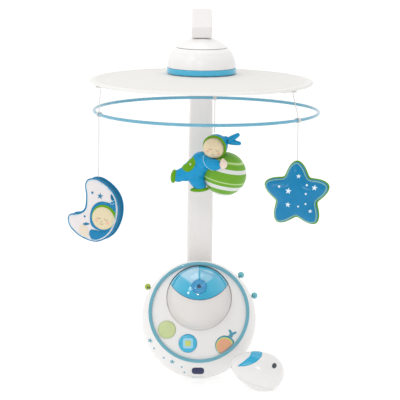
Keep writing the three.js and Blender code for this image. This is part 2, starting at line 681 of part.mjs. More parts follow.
function remote() {
  const flat = solid(box([0, -250, EGG.floor], [200, 0, 50]));
  const outer = solid(egg(0, 24, 14)).intersect(flat);
  const aboveFloor = solid(box([0, -250, EGG.floor + EGG.wall], [200, 0, 50]));
  const shell = outer.subtract(solid(egg(EGG.wall + 0.6, 12, 8)).intersect(aboveFloor));
  const tilted = (geometry) => solid(geometry.rotateY(eggTilt).translate(EGG.x, EGG.y, EGG.z));
  const lower = (offset) => tilted(box([-90, -90, -90], [90, 90, EGG.seam + offset]));

  // The leaf-shaped button lies on the top, towards the front
  const outline = new THREE.SplineCurve([
    [-17.2, -8.6], [-12.4, -7.6], [-7.1, -5.1], [-2.3, -0.7], [0.1, 4.3], [1.5, 11.6], [4.4, 16.4], [9, 18],
    [14, 15], [16.4, 8.1], [14.5, -1.9], [8.3, -9.4], [0.6, -12.5], [-7.1, -12.7], [-13.8, -10.7],
    [-17, -9.4],
  ].map(([x, y]) => new THREE.Vector2(x, y))).getPoints(22);
  const way = [0, -0.5, 0.866];
  const leafFoot = 8;
  const leafRoom = 2.5; // free depth under the button, for its press
  const leafBar = (grow, start) => solid(aim(
    extruded(new THREE.Shape(grown(outline, grow)), start, 60), way, [74, EGG.y, EGG.z]));
  const tipBar = (grow) => tilted(aim(cylinder(4 + grow, 30, 60, 20), [-1, 0, -0.24], [0, 0, 0]));

  const well = leafBar(GAP, leafFoot - leafRoom);
  const top = shell.subtract(lower(GAP / 2)).subtract(well).subtract(tipBar(GAP));
  part('remote_top_shell', geometryOf(top), white);
  part('remote_base_shell', geometryOf(shell.intersect(lower(-GAP / 2))), white);
  part('remote_button', geometryOf(shell.intersect(leafBar(0, leafFoot))), blue);
  part('remote_ir_window', geometryOf(shell.intersect(tipBar(0))), darkPlastic);
  const plate = box([-20, -12, -12.4], [18, 12, -10.8]).rotateY(eggTilt).translate(EGG.x, EGG.y, EGG.z);
  part('remote_board', welded(plate), board);
}

clamp();
mastAndArm();
frontHousing();
rearHousing();
sliders();
facePanel();
buttons();
projectorBall();
baseInternals();
motorHead();
canopyAndRing();
strings();
moonToy();
starToy();
dollToy();
remote();

export default mobile;
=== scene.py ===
"""Crib mobile: the looks of every visible piece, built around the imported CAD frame.

Lengths below are millimetres in the row frame, unless a name says otherwise; mesh_object() turns them
into metres.
"""

import contextlib
import json
import math

import bmesh
import bpy
import numpy as np
from mathutils import Matrix, Vector, noise
from mathutils.bvhtree import BVHTree
from mathutils.geometry import delaunay_2d_cdt


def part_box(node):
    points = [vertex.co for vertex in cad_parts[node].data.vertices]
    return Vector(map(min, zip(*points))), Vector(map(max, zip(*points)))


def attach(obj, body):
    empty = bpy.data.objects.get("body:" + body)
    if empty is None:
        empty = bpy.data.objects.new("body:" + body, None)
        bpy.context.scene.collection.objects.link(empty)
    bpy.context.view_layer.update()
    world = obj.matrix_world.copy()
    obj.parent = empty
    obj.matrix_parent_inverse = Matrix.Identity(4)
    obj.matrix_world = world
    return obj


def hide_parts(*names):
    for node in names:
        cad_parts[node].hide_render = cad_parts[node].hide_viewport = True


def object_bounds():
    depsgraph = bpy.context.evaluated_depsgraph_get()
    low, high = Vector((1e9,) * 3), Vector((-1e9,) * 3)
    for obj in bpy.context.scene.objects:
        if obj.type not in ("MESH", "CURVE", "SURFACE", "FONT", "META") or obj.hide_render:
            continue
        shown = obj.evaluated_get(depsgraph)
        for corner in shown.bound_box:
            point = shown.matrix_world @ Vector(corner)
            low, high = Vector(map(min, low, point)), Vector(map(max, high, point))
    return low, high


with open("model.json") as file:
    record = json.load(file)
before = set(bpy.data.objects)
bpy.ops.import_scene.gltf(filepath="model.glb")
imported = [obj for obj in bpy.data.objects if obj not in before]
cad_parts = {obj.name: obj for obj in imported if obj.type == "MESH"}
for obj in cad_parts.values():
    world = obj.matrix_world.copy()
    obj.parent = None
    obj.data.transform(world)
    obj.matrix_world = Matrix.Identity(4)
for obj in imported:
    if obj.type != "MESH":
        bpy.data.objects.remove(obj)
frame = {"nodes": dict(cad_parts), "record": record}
cad_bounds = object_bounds()
scene = bpy.context.scene
scene.view_settings.view_transform = "Standard"

MM = 0.001
record = frame["record"]
BODY_OF = {node: body for body, nodes in record["behaviour"]["bodies"].items() for node in nodes}
JOINTS = {j["name"]: j for j in record["behaviour"]["joints"]}


def corners(node):
    """The lowest and highest corner of a CAD node, in millimetres."""
    low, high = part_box(node)
    return Vector(low) / MM, Vector(high) / MM


def joint_point(name):
    """A joint's point, in millimetres."""
    return Vector(JOINTS[name]["pos_m"]) / MM


LEAN = math.radians(12)
FACE_UP = Vector((0, math.sin(LEAN), math.cos(LEAN)))
FACE_OUT = Vector((0, -math.cos(LEAN), math.sin(LEAN)))
BALL_TOY = (Vector((14.7, 5.0, -58.6)),
            31.0)  # the striped ball's middle, from the doll's hanging point, and radius


# ---------- Camera ----------

def make_camera():
    """A long lens in front of the object, a little above it and tipped down."""
    place, pitch, roll = (-0.0002, -3.7494, 0.765), math.radians(9.07), math.radians(0.6)
    data = bpy.data.cameras.new("camera")
    data.lens, data.sensor_width, data.clip_end = 234.0, 36.0, 60.0
    camera = bpy.data.objects.new("camera", data)
    scene.collection.objects.link(camera)
    camera.matrix_world = (Matrix.Translation(place) @ Matrix.Rotation(math.pi / 2 - pitch, 4, "X")
                           @ Matrix.Rotation(roll, 4, "Z"))
    scene.camera = camera


make_camera()


# ---------- Materials ----------

class Nodes:
    """A short way to write a material's node tree."""

    def __init__(self, name):
        self.material = bpy.data.materials.new(name)
        self.material.use_nodes = True
        self.tree = self.material.node_tree
        self.shader = self.tree.nodes["Principled BSDF"]
        self.place = self.add("ShaderNodeTexCoord").outputs["Object"]

    def add(self, kind, **values):
        node = self.tree.nodes.new(kind)
        for key, value in values.items():
            if hasattr(node, key):
                setattr(node, key, value)
            else:
                node.inputs[key.replace("_", " ")].default_value = value
        return node

    def link(self, out, into):
        self.tree.links.new(out, into)

    def set(self, **values):
        for key, value in values.items():
            self.shader.inputs[key.replace("_", " ")].default_value = value

    def noise(self, scale, detail=3.0, where=None):
        node = self.add("ShaderNodeTexNoise", Scale=scale, Detail=detail)
        self.link(where or self.place, node.inputs["Vector"])
        return node.outputs["Fac"]

    def math(self, operation, a, b=0.0, c=0.0):
        node = self.add("ShaderNodeMath", operation=operation)
        for socket, value in zip(node.inputs, (a, b, c)):
            if isinstance(value, (int, float)):
                socket.default_value = value
            else:
                self.link(value, socket)
        return node.outputs[0]

    def mix(self, factor, a, b):
        node = self.add("ShaderNodeMix", data_type="RGBA")
        for index, value in ((0, factor), (6, a), (7, b)):
            if isinstance(value, (int, float)):
                node.inputs[index].default_value = value
            elif isinstance(value, tuple):
                node.inputs[index].default_value = (*value, 1.0)
            else:
                self.link(value, node.inputs[index])
        return node.outputs[2]

    def vary(self, color, scale, amount):
        """The colour with soft patches a little darker and lighter."""
        darker = tuple(c * (1 - amount) for c in color)
        lighter = tuple(min(1.0, c * (1 + amount)) for c in color)
        return self.mix(self.noise(scale), darker, lighter)

    def bump(self, height, strength, distance):
        node = self.add("ShaderNodeBump", Strength=strength, Distance=distance)
        self.link(height, node.inputs["Height"])
        self.link(node.outputs["Normal"], self.shader.inputs["Normal"])

    def rough(self, low, high, scale):
        """An uneven roughness between the two."""
        spread = self.add("ShaderNodeMapRange", To_Min=low, To_Max=high)
        self.link(self.noise(scale), spread.inputs["Value"])
        self.link(spread.outputs[0], self.shader.inputs["Roughness"])

    def color(self, out):
        self.link(out, self.shader.inputs["Base Color"])

    def along(self, way, start):
        """How far a point lies along a direction, in metres, from a start given in millimetres."""
        dot = self.add("ShaderNodeVectorMath", operation="DOT_PRODUCT")
        self.link(self.place, dot.inputs[0])
        dot.inputs[1].default_value = way
        return self.math("SUBTRACT", dot.outputs["Value"], way.dot(start) * MM)


def rgb(red, green, blue):
    """An sRGB colour of 0 to 255 as linear numbers."""
    return tuple(c / 255 / 12.92 if c <= 10 else ((c / 255 + 0.055) / 1.055) ** 2.4 for c in (red, green,
                                                                                              blue))


def plastic(name, color, roughness=0.32, coat=0.0, through=0.0, variation=0.02, grain=0.015):
    """Moulded plastic: a faint orange-peel surface, uneven gloss and slightly scuffed corners."""
    m = Nodes(name)
    base = m.vary(color, 14.0, variation)
    edges = m.add("ShaderNodeNewGeometry").outputs["Pointiness"]
    worn = m.math("MULTIPLY", m.math("MAXIMUM", m.math("SUBTRACT", edges, 0.53), 0.0), 1.6)
    scuffs = m.math("MULTIPLY", worn, m.noise(900.0, 2.0))
    m.color(m.mix(scuffs, base, tuple(min(1.0, 0.6 * c + 0.4) for c in color)))
    m.rough(max(0.03, roughness - 0.05), roughness + 0.06, 60.0)
    m.bump(m.noise(1400.0, 2.0), 0.25, grain * MM)
    m.set(Specular_IOR_Level=0.5, IOR=1.49, Coat_Weight=coat, Coat_Roughness=0.06,
          Transmission_Weight=through)
    return m.material


def fabric(name, color, thread=0.25, sheen=0.05, roughness=0.5, gloss=0.2, variation=0.06, coat=0.0,
           pattern=None):
    """Woven cloth: threads across each other at that spacing in millimetres, soft folds and sheen."""
    m = Nodes(name)
    base = pattern(m) if pattern else m.vary(color, 35.0, variation)
    waves = []
    for direction in "XZY":
        wave = m.add("ShaderNodeTexWave", bands_direction=direction, Scale=2 * math.pi / (20 * thread * MM),
                     Distortion=0.6, Detail_Scale=2.0)
        m.link(m.place, wave.inputs["Vector"])
        waves.append(wave.outputs["Fac"])
    weave = m.math("MULTIPLY", m.math("ADD", m.math("ADD", waves[0], waves[1]), waves[2]), 0.333)
    m.color(m.mix(m.math("MULTIPLY", weave, 0.10), base, tuple(0.55 * c for c in color)))
    slack = m.noise(70.0, 4.0)
    m.bump(m.math("ADD", m.math("MULTIPLY", weave, 0.12), slack), 0.5, 0.5 * MM)
    m.rough(roughness - 0.06, roughness + 0.06, 50.0)
    m.set(Specular_IOR_Level=gloss, Sheen_Weight=sheen, Sheen_Roughness=0.4, Coat_Weight=coat,
          Coat_Roughness=0.22)
    return m.material


def striped(m):
    """Green bands and thin green lines on white, across an axis that leans a little."""
    lean = Vector((0.2, -0.1, 0.97)).normalized()
    across = m.along(lean, joint_point("doll_twist") + BALL_TOY[0])
    height = m.math("MULTIPLY_ADD", across, 1 / (2 * BALL_TOY[1] * MM), 0.5)
    stripe = m.add("ShaderNodeValToRGB")
    ramp = stripe.color_ramp
    ramp.interpolation = "CONSTANT"
    white, green, pale = (*rgb(222, 224, 222), 1.0), (*rgb(104, 164, 24), 1.0), (*rgb(176, 208, 134), 1.0)
    for position, shade in ((0.0, white), (0.09, green), (0.22, white), (0.315, green), (0.385, pale),
                            (0.415, green),
                            (0.63, white), (0.715, green), (0.827, pale), (0.868, green)):
        stop = ramp.elements[0] if position == 0.0 else ramp.elements.new(position)
        stop.position, stop.color = position, shade
    ramp.elements[-1].color = green
    m.link(height, stripe.inputs["Fac"])
    return stripe.outputs["Color"]


def window_look():
    """The projector's clear blue window: painted highlights where its reflector shows through, painted shade
    towards its bottom, and a seam down it.
    """
    m = Nodes("clear_blue")

    middle = joint_point("projector_tilt")
    across, up = m.along(Vector((1, 0, 0)), middle), m.along(FACE_UP, middle)
    wobbly = m.math("ADD", up, m.math("MULTIPLY", m.noise(60.0, 1.0), 0.004))

    def slope(amount):
        return m.math("MULTIPLY_ADD", across, amount, up)

    def mask(ramps):
        """A product of smooth steps, each 0 at its start and 1 at its end, in millimetres."""
        out = None
        for value, start, end in ramps:
            node = m.add("ShaderNodeMapRange", interpolation_type="SMOOTHSTEP", From_Min=start * MM,
                         From_Max=end * MM)
            m.link(value, node.inputs["Value"])
            out = node.outputs[0] if out is None else m.math("MULTIPLY", out, node.outputs[0])
        return out

    base = rgb(52, 182, 218)
    for strength, shade_of, ramps in (
            (1.0, rgb(30, 168, 208), [(up, 14, 0)]),  # painted shade: darker towards the bottom
            (0.72, rgb(190, 224, 244), [(across, -0.6, -1.6), (slope(0.75), 10, 15), (wobbly, 13, 21),
                                        (slope(-0.75), 62, 50)]),  # painted highlight where the reflector's left half shows through
            (0.5, rgb(184, 222, 242), [(across, 1.0, 2.2), (across, 24, 15), (slope(-0.75), 12, 17),
                                       (up, 44, 37)]),  # and a painted highlight where its right half shows through
            (0.5, rgb(36, 140, 190), [(slope(0.35), 37.5, 39), (slope(0.35), 42, 41), (across, 1.5, 3),
                                      (across, 30, 20)]),  # a dark streak over it
            (0.6, rgb(70, 150, 190), [(across, -0.7, -0.3), (across, 0.7, 0.3), (up, 25, 27)])):  # the seam
        base = m.mix(m.math("MULTIPLY", mask(ramps), strength), base, shade_of)
    m.color(base)
    m.rough(0.05, 0.1, 40.0)
    m.bump(m.noise(300.0, 2.0), 0.1, 0.02 * MM)
    m.set(Transmission_Weight=0.12, IOR=1.46, Coat_Weight=1.0, Coat_Roughness=0.03, Specular_IOR_Level=0.6)
    return m.material


def see_through(name, color, roughness, through, coat=0.6):
    """Tinted clear plastic with a polished surface."""
    m = Nodes(name)
    m.color(m.vary(color, 9.0, 0.06))
    m.rough(roughness, roughness + 0.05, 40.0)
    m.bump(m.noise(500.0, 2.0), 0.12, 0.02 * MM)
    m.set(Transmission_Weight=through, IOR=1.46, Coat_Weight=coat, Coat_Roughness=0.03,
          Specular_IOR_Level=0.6)
    return m.material


def metal(name, color, roughness):
    """Drawn or plated metal, with fine marks along one direction."""
    m = Nodes(name)
    m.color(m.vary(color, 30.0, 0.08))
    stretched = m.add("ShaderNodeMapping")
    stretched.inputs["Scale"].default_value = (1.0, 40.0, 1.0)
    m.link(m.place, stretched.inputs["Vector"])
    m.bump(m.noise(200.0, 4.0, stretched.outputs["Vector"]), 0.2, 0.02 * MM)
    m.rough(roughness, roughness + 0.15, 80.0)
    m.set(Metallic=1.0)
    return m.material


def string_look(name, color):
    """Twisted thread."""
    m = Nodes(name)
    m.color(m.vary(color, 200.0, 0.05))
    twist = m.add("ShaderNodeTexWave", Scale=350.0, bands_direction="DIAGONAL")
    m.link(m.place, twist.inputs["Vector"])
    m.bump(twist.outputs["Fac"], 0.6, 0.15 * MM)
    m.rough(0.75, 0.85, 60.0)
    m.set(Sheen_Weight=0.3, Sheen_Roughness=0.5)
    return m.material


LOOK = {
    "white": plastic("white_moulded", rgb(228, 224, 222), 0.34, coat=0.08),
    "housing": plastic("housing_white", rgb(232, 230, 229), 0.3, coat=0.4),
    "dome_white": plastic("dome_white", rgb(236, 235, 234), 0.34, coat=0.2),
    "ball_white": plastic("ball_white", rgb(218, 214, 211), 0.3, coat=0.15),
    "blue": plastic("sky_blue", rgb(62, 176, 212), 0.25, coat=0.4),
    "leaf_blue": plastic("leaf_blue", rgb(30, 166, 206), 0.25, coat=0.25),
    "teal": see_through("teal_trim", rgb(108, 178, 196), 0.2, 0.15),
    "ring": see_through("ring_tube", rgb(104, 180, 208), 0.18, 0.25),
    "clear_blue": window_look(),
    "lens_blue": see_through("lens_blue", rgb(44, 156, 210), 0.05, 0.15, coat=1.0),
    "lens_core": plastic("lens_core", rgb(14, 66, 96), 0.08, coat=1.0),
    "green": see_through("clear_green", rgb(204, 218, 160), 0.3, 0.1, coat=0.2),
    "knob_green": plastic("knob_green", rgb(160, 180, 56), 0.3, coat=0.3),
    "knob_blue": plastic("knob_blue", rgb(104, 182, 194), 0.3, coat=0.3),
    "navy": plastic("navy_gloss", rgb(18, 28, 78), 0.3, coat=0.1),
    "dark": plastic("dark_moulded", rgb(64, 70, 74), 0.5),
    "print_teal": plastic("print_teal", rgb(96, 160, 178), 0.45),
    "pale_blue": plastic("pale_blue", rgb(150, 208, 232), 0.35, coat=0.2),
    "lime": plastic("lime", rgb(196, 206, 110), 0.35, coat=0.2),
    "night_face": see_through("night_face", rgb(234, 166, 132), 0.35, 0.1, coat=0.1),
    "night_hood": plastic("night_hood", rgb(66, 148, 170), 0.35, coat=0.2),
    "board": plastic("circuit_board", rgb(40, 104, 62), 0.45),
    "steel": metal("plated_steel", rgb(190, 192, 196), 0.25),
    "canopy": fabric("canopy_weave", rgb(229, 227, 223), thread=0.45, roughness=0.9, variation=0.012),
    "binding": fabric("canopy_binding", rgb(234, 233, 230), thread=0.5, roughness=0.85, variation=0.012),
    "string": string_look("white_string", rgb(214, 212, 210)),
    "thread": string_look("white_thread", rgb(186, 226, 240)),
    "light_edge": string_look("light_edge", rgb(160, 206, 170)),
    "satin_blue": fabric("satin_blue", rgb(0, 124, 174), thread=0.22, sheen=0.0, roughness=0.36, gloss=0.06,
                         coat=0.5),
    "satin_doll": fabric("satin_doll", rgb(0, 148, 202), thread=0.22, sheen=0.0, roughness=0.36, gloss=0.06,
                         coat=0.5),
    "satin_deep": fabric("satin_deep", rgb(0, 104, 146), thread=0.22, sheen=0.0, roughness=0.5, gloss=0.12,
                         coat=0.05),
    "satin_green": fabric("satin_green", rgb(100, 160, 10), thread=0.25, sheen=0.0, roughness=0.45,
                          gloss=0.15,
                          coat=0.06),
    "moon_white": fabric("moon_white", rgb(226, 220, 221), thread=0.28, gloss=0.3,
                         variation=0.02),
    "skin": fabric("doll_skin", rgb(232, 214, 178), gloss=0.3,
                   variation=0.03),
    # a darker copy of the doll's skin: partly the moon face's duller cloth, partly painted shade
    "moon_skin_dull_and_shaded": fabric("moon_skin_dull_and_shaded", rgb(222, 208, 172), roughness=0.4, gloss=0.3, coat=0.15,
                        variation=0.03),
    "moon_hand": fabric("moon_hand_cloth", rgb(226, 214, 196), variation=0.03),
    "pink": fabric("doll_hand", rgb(236, 216, 202), variation=0.03),
    "ball_cloth": fabric("striped_cloth", rgb(170, 200, 120), thread=0.26, sheen=0.0, roughness=0.45,
                         gloss=0.3,
                         coat=0.12, pattern=striped),
    "white_print": plastic("white_print", rgb(220, 234, 242), 0.4),
    "blue_print": plastic("blue_print", rgb(30, 118, 158), 0.4),
    "thread_brown": string_look("brown_thread", rgb(132, 100, 78)),
    "blush": plastic("blush", rgb(228, 178, 150), 0.6),
}


# ---------- Mesh helpers ----------

@contextlib.contextmanager
def editing(mesh):
    """A mesh as a bmesh, written back at the end."""
    bm = bmesh.new()
    bm.from_mesh(mesh)
    yield bm
    bm.to_mesh(mesh)
    bm.free()


def mesh_object(name, verts, faces, look, smooth=35.0):
    """An object in the row frame from points in millimetres."""
    mesh = bpy.data.meshes.new(name)
    mesh.from_pydata([tuple(MM * c for c in v) for v in verts], [], faces)
    with editing(mesh) as bm:
        bmesh.ops.remove_doubles(bm, verts=bm.verts, dist=1e-6)
        bmesh.ops.recalc_face_normals(bm, faces=bm.faces)
    obj = bpy.data.objects.new(name, mesh)
    scene.collection.objects.link(obj)
    mesh.materials.append(LOOK[look])
    shade(obj, smooth)
    return obj


def shade(obj, angle=35.0):
    """Smooth shading, with edges sharper than the angle kept sharp."""
    limit = math.radians(angle)
    with editing(obj.data) as bm:
        for face in bm.faces:
            face.smooth = True
        for edge in bm.edges:
            edge.smooth = len(edge.link_faces) != 2 or edge.calc_face_angle(0.0) < limit


def settle(obj, node=None, body=None, also=()):
    """Says which body the piece rides on and which CAD nodes it stands for."""
    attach(obj, body or BODY_OF[node])
    if node:
        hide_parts(node, *also)
    return obj


def rounded(points, radius, steps=5, loop=False):
    """A polyline with its corners rounded; radius is one number, or one for each corner."""
    n = len(points)
    radii = radius if isinstance(radius, (list, tuple)) else [radius] * n
    out = []
    for i, p in enumerate(points):
        p = Vector(p)
        if radii[i] == 0 or (not loop and i in (0, n - 1)):
            out.append(p)
            continue
        a, b = Vector(points[i - 1]) - p, Vector(points[(i + 1) % n]) - p
        reach = min(radii[i], 0.49 * a.length, 0.49 * b.length)
        start, end = p + a.normalized() * reach, p + b.normalized() * reach
        for k in range(steps + 1):
            t = k / steps
            out.append(start.lerp(p, t).lerp(p.lerp(end, t), t))
    return out


def shrunk(outline, inset):
    """An outline moved inwards by a small inset."""
    pts = [Vector(p) for p in outline]
    if not inset:
        return pts
    area = sum(a.x * b.y - b.x * a.y for a, b in zip(pts, pts[1:] + pts[:1]))
    sign = 1 if area > 0 else -1
    out = []
    for i, p in enumerate(pts):
        way = (pts[(i + 1) % len(pts)] - pts[i - 1]).normalized()
        out.append(p + sign * inset * Vector((-way.y, way.x)))
    return out


def turns(count):
    """That many angles, evenly spread over a full turn."""
    return [2 * math.pi * i / count for i in range(count)]


def lathe_data(profile, sides, loop):
    """Points and faces of a profile of (radius, height) turned about Z."""
    verts, faces, rows = [], [], []
    for r, h in profile:
        if abs(r) < 1e-6:
            rows.append([len(verts)] * sides)
            verts.append((0, 0, h))
        else:
            rows.append(list(range(len(verts), len(verts) + sides)))
            verts += [(r * math.cos(a), r * math.sin(a), h) for a in turns(sides)]
    for a, b in list(zip(rows, rows[1:])) + ([(rows[-1], rows[0])] if loop else []):
        for i in range(sides):
            j = (i + 1) % sides
            face = tuple(dict.fromkeys((a[i], a[j], b[j], b[i])))
            if len(face) > 2:
                faces.append(face)
    return verts, faces


def lathe(name, profile, look, place=Matrix(), sides=96, loop=False, smooth=35.0):
    """A profile of (radius, height) turned about the place's Z."""
    verts, faces = lathe_data(profile, sides, loop)
    return mesh_object(name, [place @ Vector(v) for v in verts], faces, look, smooth)


def skin(name, rings, look, loop=False, caps=True, smooth=35.0, turned=0):
    """A surface over rings of equally many points; the last may meet the first some points further on."""
    n, last = len(rings[0]), len(rings) - 1
    faces = []
    for a, b, on in [(r, r + 1, 0) for r in range(last)] + ([(last, 0, turned)] if loop else []):
        faces += [(a * n + (i + on) % n, a * n + (i + 1 + on) % n, b * n + (i + 1) % n, b * n + i)
                  for i in range(n)]
    if caps and not loop:
        faces += [tuple(range(n)), tuple(range(last * n, last * n + n))]
    return mesh_object(name, [p for ring in rings for p in ring], faces, look, smooth)


def section(width, height, corner, steps=6):
    """A rounded rectangle around 0, 0."""
    x, y = width / 2, height / 2
    return rounded([(x, -y), (x, y), (-x, y), (-x, -y)], corner, steps, loop=True)


def aim(direction, place=(0, 0, 0)):
    """A matrix that takes +Z to a direction and 0 to a place."""
    turn = Vector((0, 0, 1)).rotation_difference(Vector(direction).normalized())
    return Matrix.Translation(Vector(place)) @ turn.to_matrix().to_4x4()


def tube(name, points, radius, look, sides=10, loop=False, radii=None):
    """A round tube along points, capped at its ends or closed on itself."""
    points = [Vector(p) for p in points]
    n = len(points)
    rings, across = [], None
    for i, p in enumerate(points):
        before = points[i - 1] if (i or loop) else p
        after = points[(i + 1) % n] if (i < n - 1 or loop) else p
        along = (after - before).normalized()
        if across is None:
            across = along.orthogonal().normalized()
        across = (across - along * across.dot(along)).normalized()
        other = along.cross(across)
        r = radii[i] if radii else radius
        rings.append([p + r * (math.cos(a) * across + math.sin(a) * other) for a in turns(sides)])
    # a closed tube's rings have turned by its end, so the last meets the first at its nearest points
    turned = min(range(sides), key=lambda k: sum(
        (rings[-1][(i + k) % sides] - rings[0][i]).length for i in range(sides))) if loop else 0
    return skin(name, rings, look, loop=loop, smooth=80, turned=turned)


def cut(obj, *tools, operation="DIFFERENCE"):
    """Takes closed meshes away from an object, or keeps what is inside them; the tools are deleted."""
    for tool in tools:
        mod = obj.modifiers.new("cut", "BOOLEAN")
        mod.operation, mod.solver, mod.object = operation, "EXACT", tool
    bake(obj)
    for tool in tools:
        bpy.data.objects.remove(tool)


def bevel(obj, width, angle):
    """Rounds the edges that are sharper than the angle."""
    edge = obj.modifiers.new("edge", "BEVEL")
    edge.width, edge.segments = width * MM, 3
    edge.limit_method, edge.angle_limit = "ANGLE", math.radians(angle)
    bake(obj)


def thicken(obj, thickness, offset=-1.0):
    """Gives an open surface a thickness, inwards unless the offset says otherwise."""
    mod = obj.modifiers.new("thick", "SOLIDIFY")
    mod.thickness, mod.offset = thickness * MM, offset
    bake(obj)


def bake(obj):
    """Applies an object's modifiers to its mesh."""
    depsgraph = bpy.context.evaluated_depsgraph_get()
    depsgraph.update()
    mesh = bpy.data.meshes.new_from_object(obj.evaluated_get(depsgraph))
    obj.modifiers.clear()
    old, obj.data = obj.data, mesh
    bpy.data.meshes.remove(old)


def prism(outline, low, high, place=Matrix()):
    """A closed bar over an outline, for cutting."""
    rings = [[place @ Vector((p[0], p[1], h)) for p in outline] for h in (low, high)]
    return skin("cutter", rings, "white")


def rod(radius, low, high, place, sides=40):
    """A closed round bar, for cutting."""
    return lathe("cutter", [(0, low), (radius, low), (radius, high), (0, high)], "white", place, sides)


def circle(radius, count=64, centre=(0, 0)):
    """Points round a circle."""
    return [(centre[0] + radius * math.cos(a), centre[1] + radius * math.sin(a)) for a in turns(count)]


def star_outline(radius, inner=0.45, turn=0.0):
    """A five-pointed star, its inner corners at a share of the radius."""
    return [(r * math.sin(a), r * math.cos(a)) for k in range(10)
            for r, a in [((radius, radius * inner)[k % 2], math.radians(36 * k + turn))]]


def filled(outline, step):
    """Points and triangles that fill an outline with a spacing of about one step."""
    outline = [Vector((p[0], p[1])) for p in outline]
    xs, ys = [p.x for p in outline], [p.y for p in outline]
    inside = []
    x = min(xs)
    row = 0
    while x < max(xs):
        y = min(ys) + (step / 2 if row % 2 else 0)
        while y < max(ys):
            p = Vector((x, y))
            if within(p, outline) and edge_distance(p, outline) > 0.45 * step:
                inside.append(p)
            y += step
        x += 0.87 * step
        row += 1
    edges = [(i, (i + 1) % len(outline)) for i in range(len(outline))]
    points, _, faces, _, _, _ = delaunay_2d_cdt(outline + inside, edges, [], 1, 1e-5)
    return points, faces


def within(p, outline):
    """Whether a point is inside an outline."""
    odd = False
    for a, b in zip(outline, outline[1:] + outline[:1]):
        if (a.y > p.y) != (b.y > p.y) and p.x < (b.x - a.x) * (p.y - a.y) / (b.y - a.y) + a.x:
            odd = not odd
    return odd


def edge_distance(p, outline):
    """How far a point is from an outline's nearest edge."""
    pts = np.array([(v[0], v[1]) for v in outline])
    nxt = np.roll(pts, -1, axis=0)
    d = nxt - pts
    t = np.clip(((np.array(p[:2]) - pts) * d).sum(1) / np.maximum((d * d).sum(1), 1e-9), 0, 1)
    return float(np.linalg.norm(pts + t[:, None] * d - np.array(p[:2]), axis=1).min())


def spline(points, count, loop=True):
    """A smooth curve through points, as that many points."""
    pts = [Vector(p) for p in points]
    n = len(pts)
    spans = n if loop else n - 1

    def pick(j):
        return pts[j % n] if loop else pts[max(0, min(n - 1, j))]

    out = []
    for k in range(count):
        t = k * spans / (count if loop else count - 1)
        i = min(int(t), spans - 1)
        f = t - i
        a, b, c, d = pick(i - 1), pick(i), pick(i + 1), pick(i + 2)
        out.append(0.5 * ((2 * b) + (c - a) * f + (2 * a - 5 * b + 4 * c - d) * f * f
                          + (3 * b - a - 3 * c + d) * f ** 3))
    return out


VIEW_FROM = -400.0  # well in front of every surface


class Surface:
    """What prints, patches and stitches are laid on, seen along a direction."""

    def __init__(self, place, *objects):
        self.place = place  # local x and z lie in the picture plane, and the view is along local +Y
        depsgraph = bpy.context.evaluated_depsgraph_get()
        depsgraph.update()
        self.trees = [BVHTree.FromObject(o, depsgraph) for o in objects]

    def at(self, x, z, lift):
        """The nearest point under x and z, lifted off the surface, or None where there is none."""
        start = (self.place @ Vector((x, VIEW_FROM, z))) * MM
        way = (self.place.to_3x3() @ Vector((0, 1, 0))).normalized()
        hits = [hit for hit in (tree.ray_cast(start, way) for tree in self.trees) if hit[0] is not None]
        if not hits:
            return None
        spot, normal, _, _ = min(hits, key=lambda hit: hit[3])
        return spot / MM + (normal if normal.dot(way) < 0 else -normal) * lift


def patch(name, surface, outline, look, lift=0.12, thick=0.0, step=1.6, shift=(0, 0), puffed=0.0):
    """A shape laid on a surface; thick gives it an edge, and puffed a padded middle."""
    outline = [(p[0] + shift[0], p[1] + shift[1]) for p in outline]
    points, faces = filled(outline, step)
    flat_outline = [Vector(p) for p in outline]
    verts, kept = [], {}
    for i, p in enumerate(points):
        rise = lift + thick
        if puffed:
            deep = min(1.0, edge_distance(p, flat_outline) / (2.2 * puffed))
            rise += puffed * math.sqrt(1 - (1 - deep) ** 2)
        spot = surface.at(p.x, p.y, rise)
        if spot is not None:
            kept[i] = len(verts)
            verts.append(spot)
    faces = [tuple(kept[i] for i in f) for f in faces if all(i in kept for i in f)]
    obj = mesh_object(name, verts, faces, look, 60)
    thicken(obj, thick + lift + 0.25, -1.0 if thick else 0.0)
    shade(obj, 50)
    return obj


def stroke(name, surface, points, radius, look, lift=0.1, count=24, loop=False):
    """A sewn or printed line laid on a surface."""
    line = [surface.at(p.x, p.y, lift) for p in spline(points, count, loop)]
    line = [p for p in line if p is not None]
    return tube(name, line, radius, look, sides=8, loop=loop)


def merged(name, objects):
    """Joins objects into one, keeping their materials."""
    bm = bmesh.new()
    looks = []
    for o in objects:
        offset = len(looks)
        looks += [m for m in o.data.materials]
        part_mesh = o.data.copy()
        for face in part_mesh.polygons:
            face.material_index += offset
        bm.from_mesh(part_mesh)
        bpy.data.meshes.remove(part_mesh)
    mesh = bpy.data.meshes.new(name)
    bm.to_mesh(mesh)
    bm.free()
    unique = list(dict.fromkeys(looks))
    order = [unique.index(m) for m in looks]
    for face in mesh.polygons:
        face.material_index = order[face.material_index]
    for m in unique:
        mesh.materials.append(m)
    for o in objects:
        bpy.data.objects.remove(o)
    obj = bpy.data.objects.new(name, mesh)
    scene.collection.objects.link(obj)
    return obj


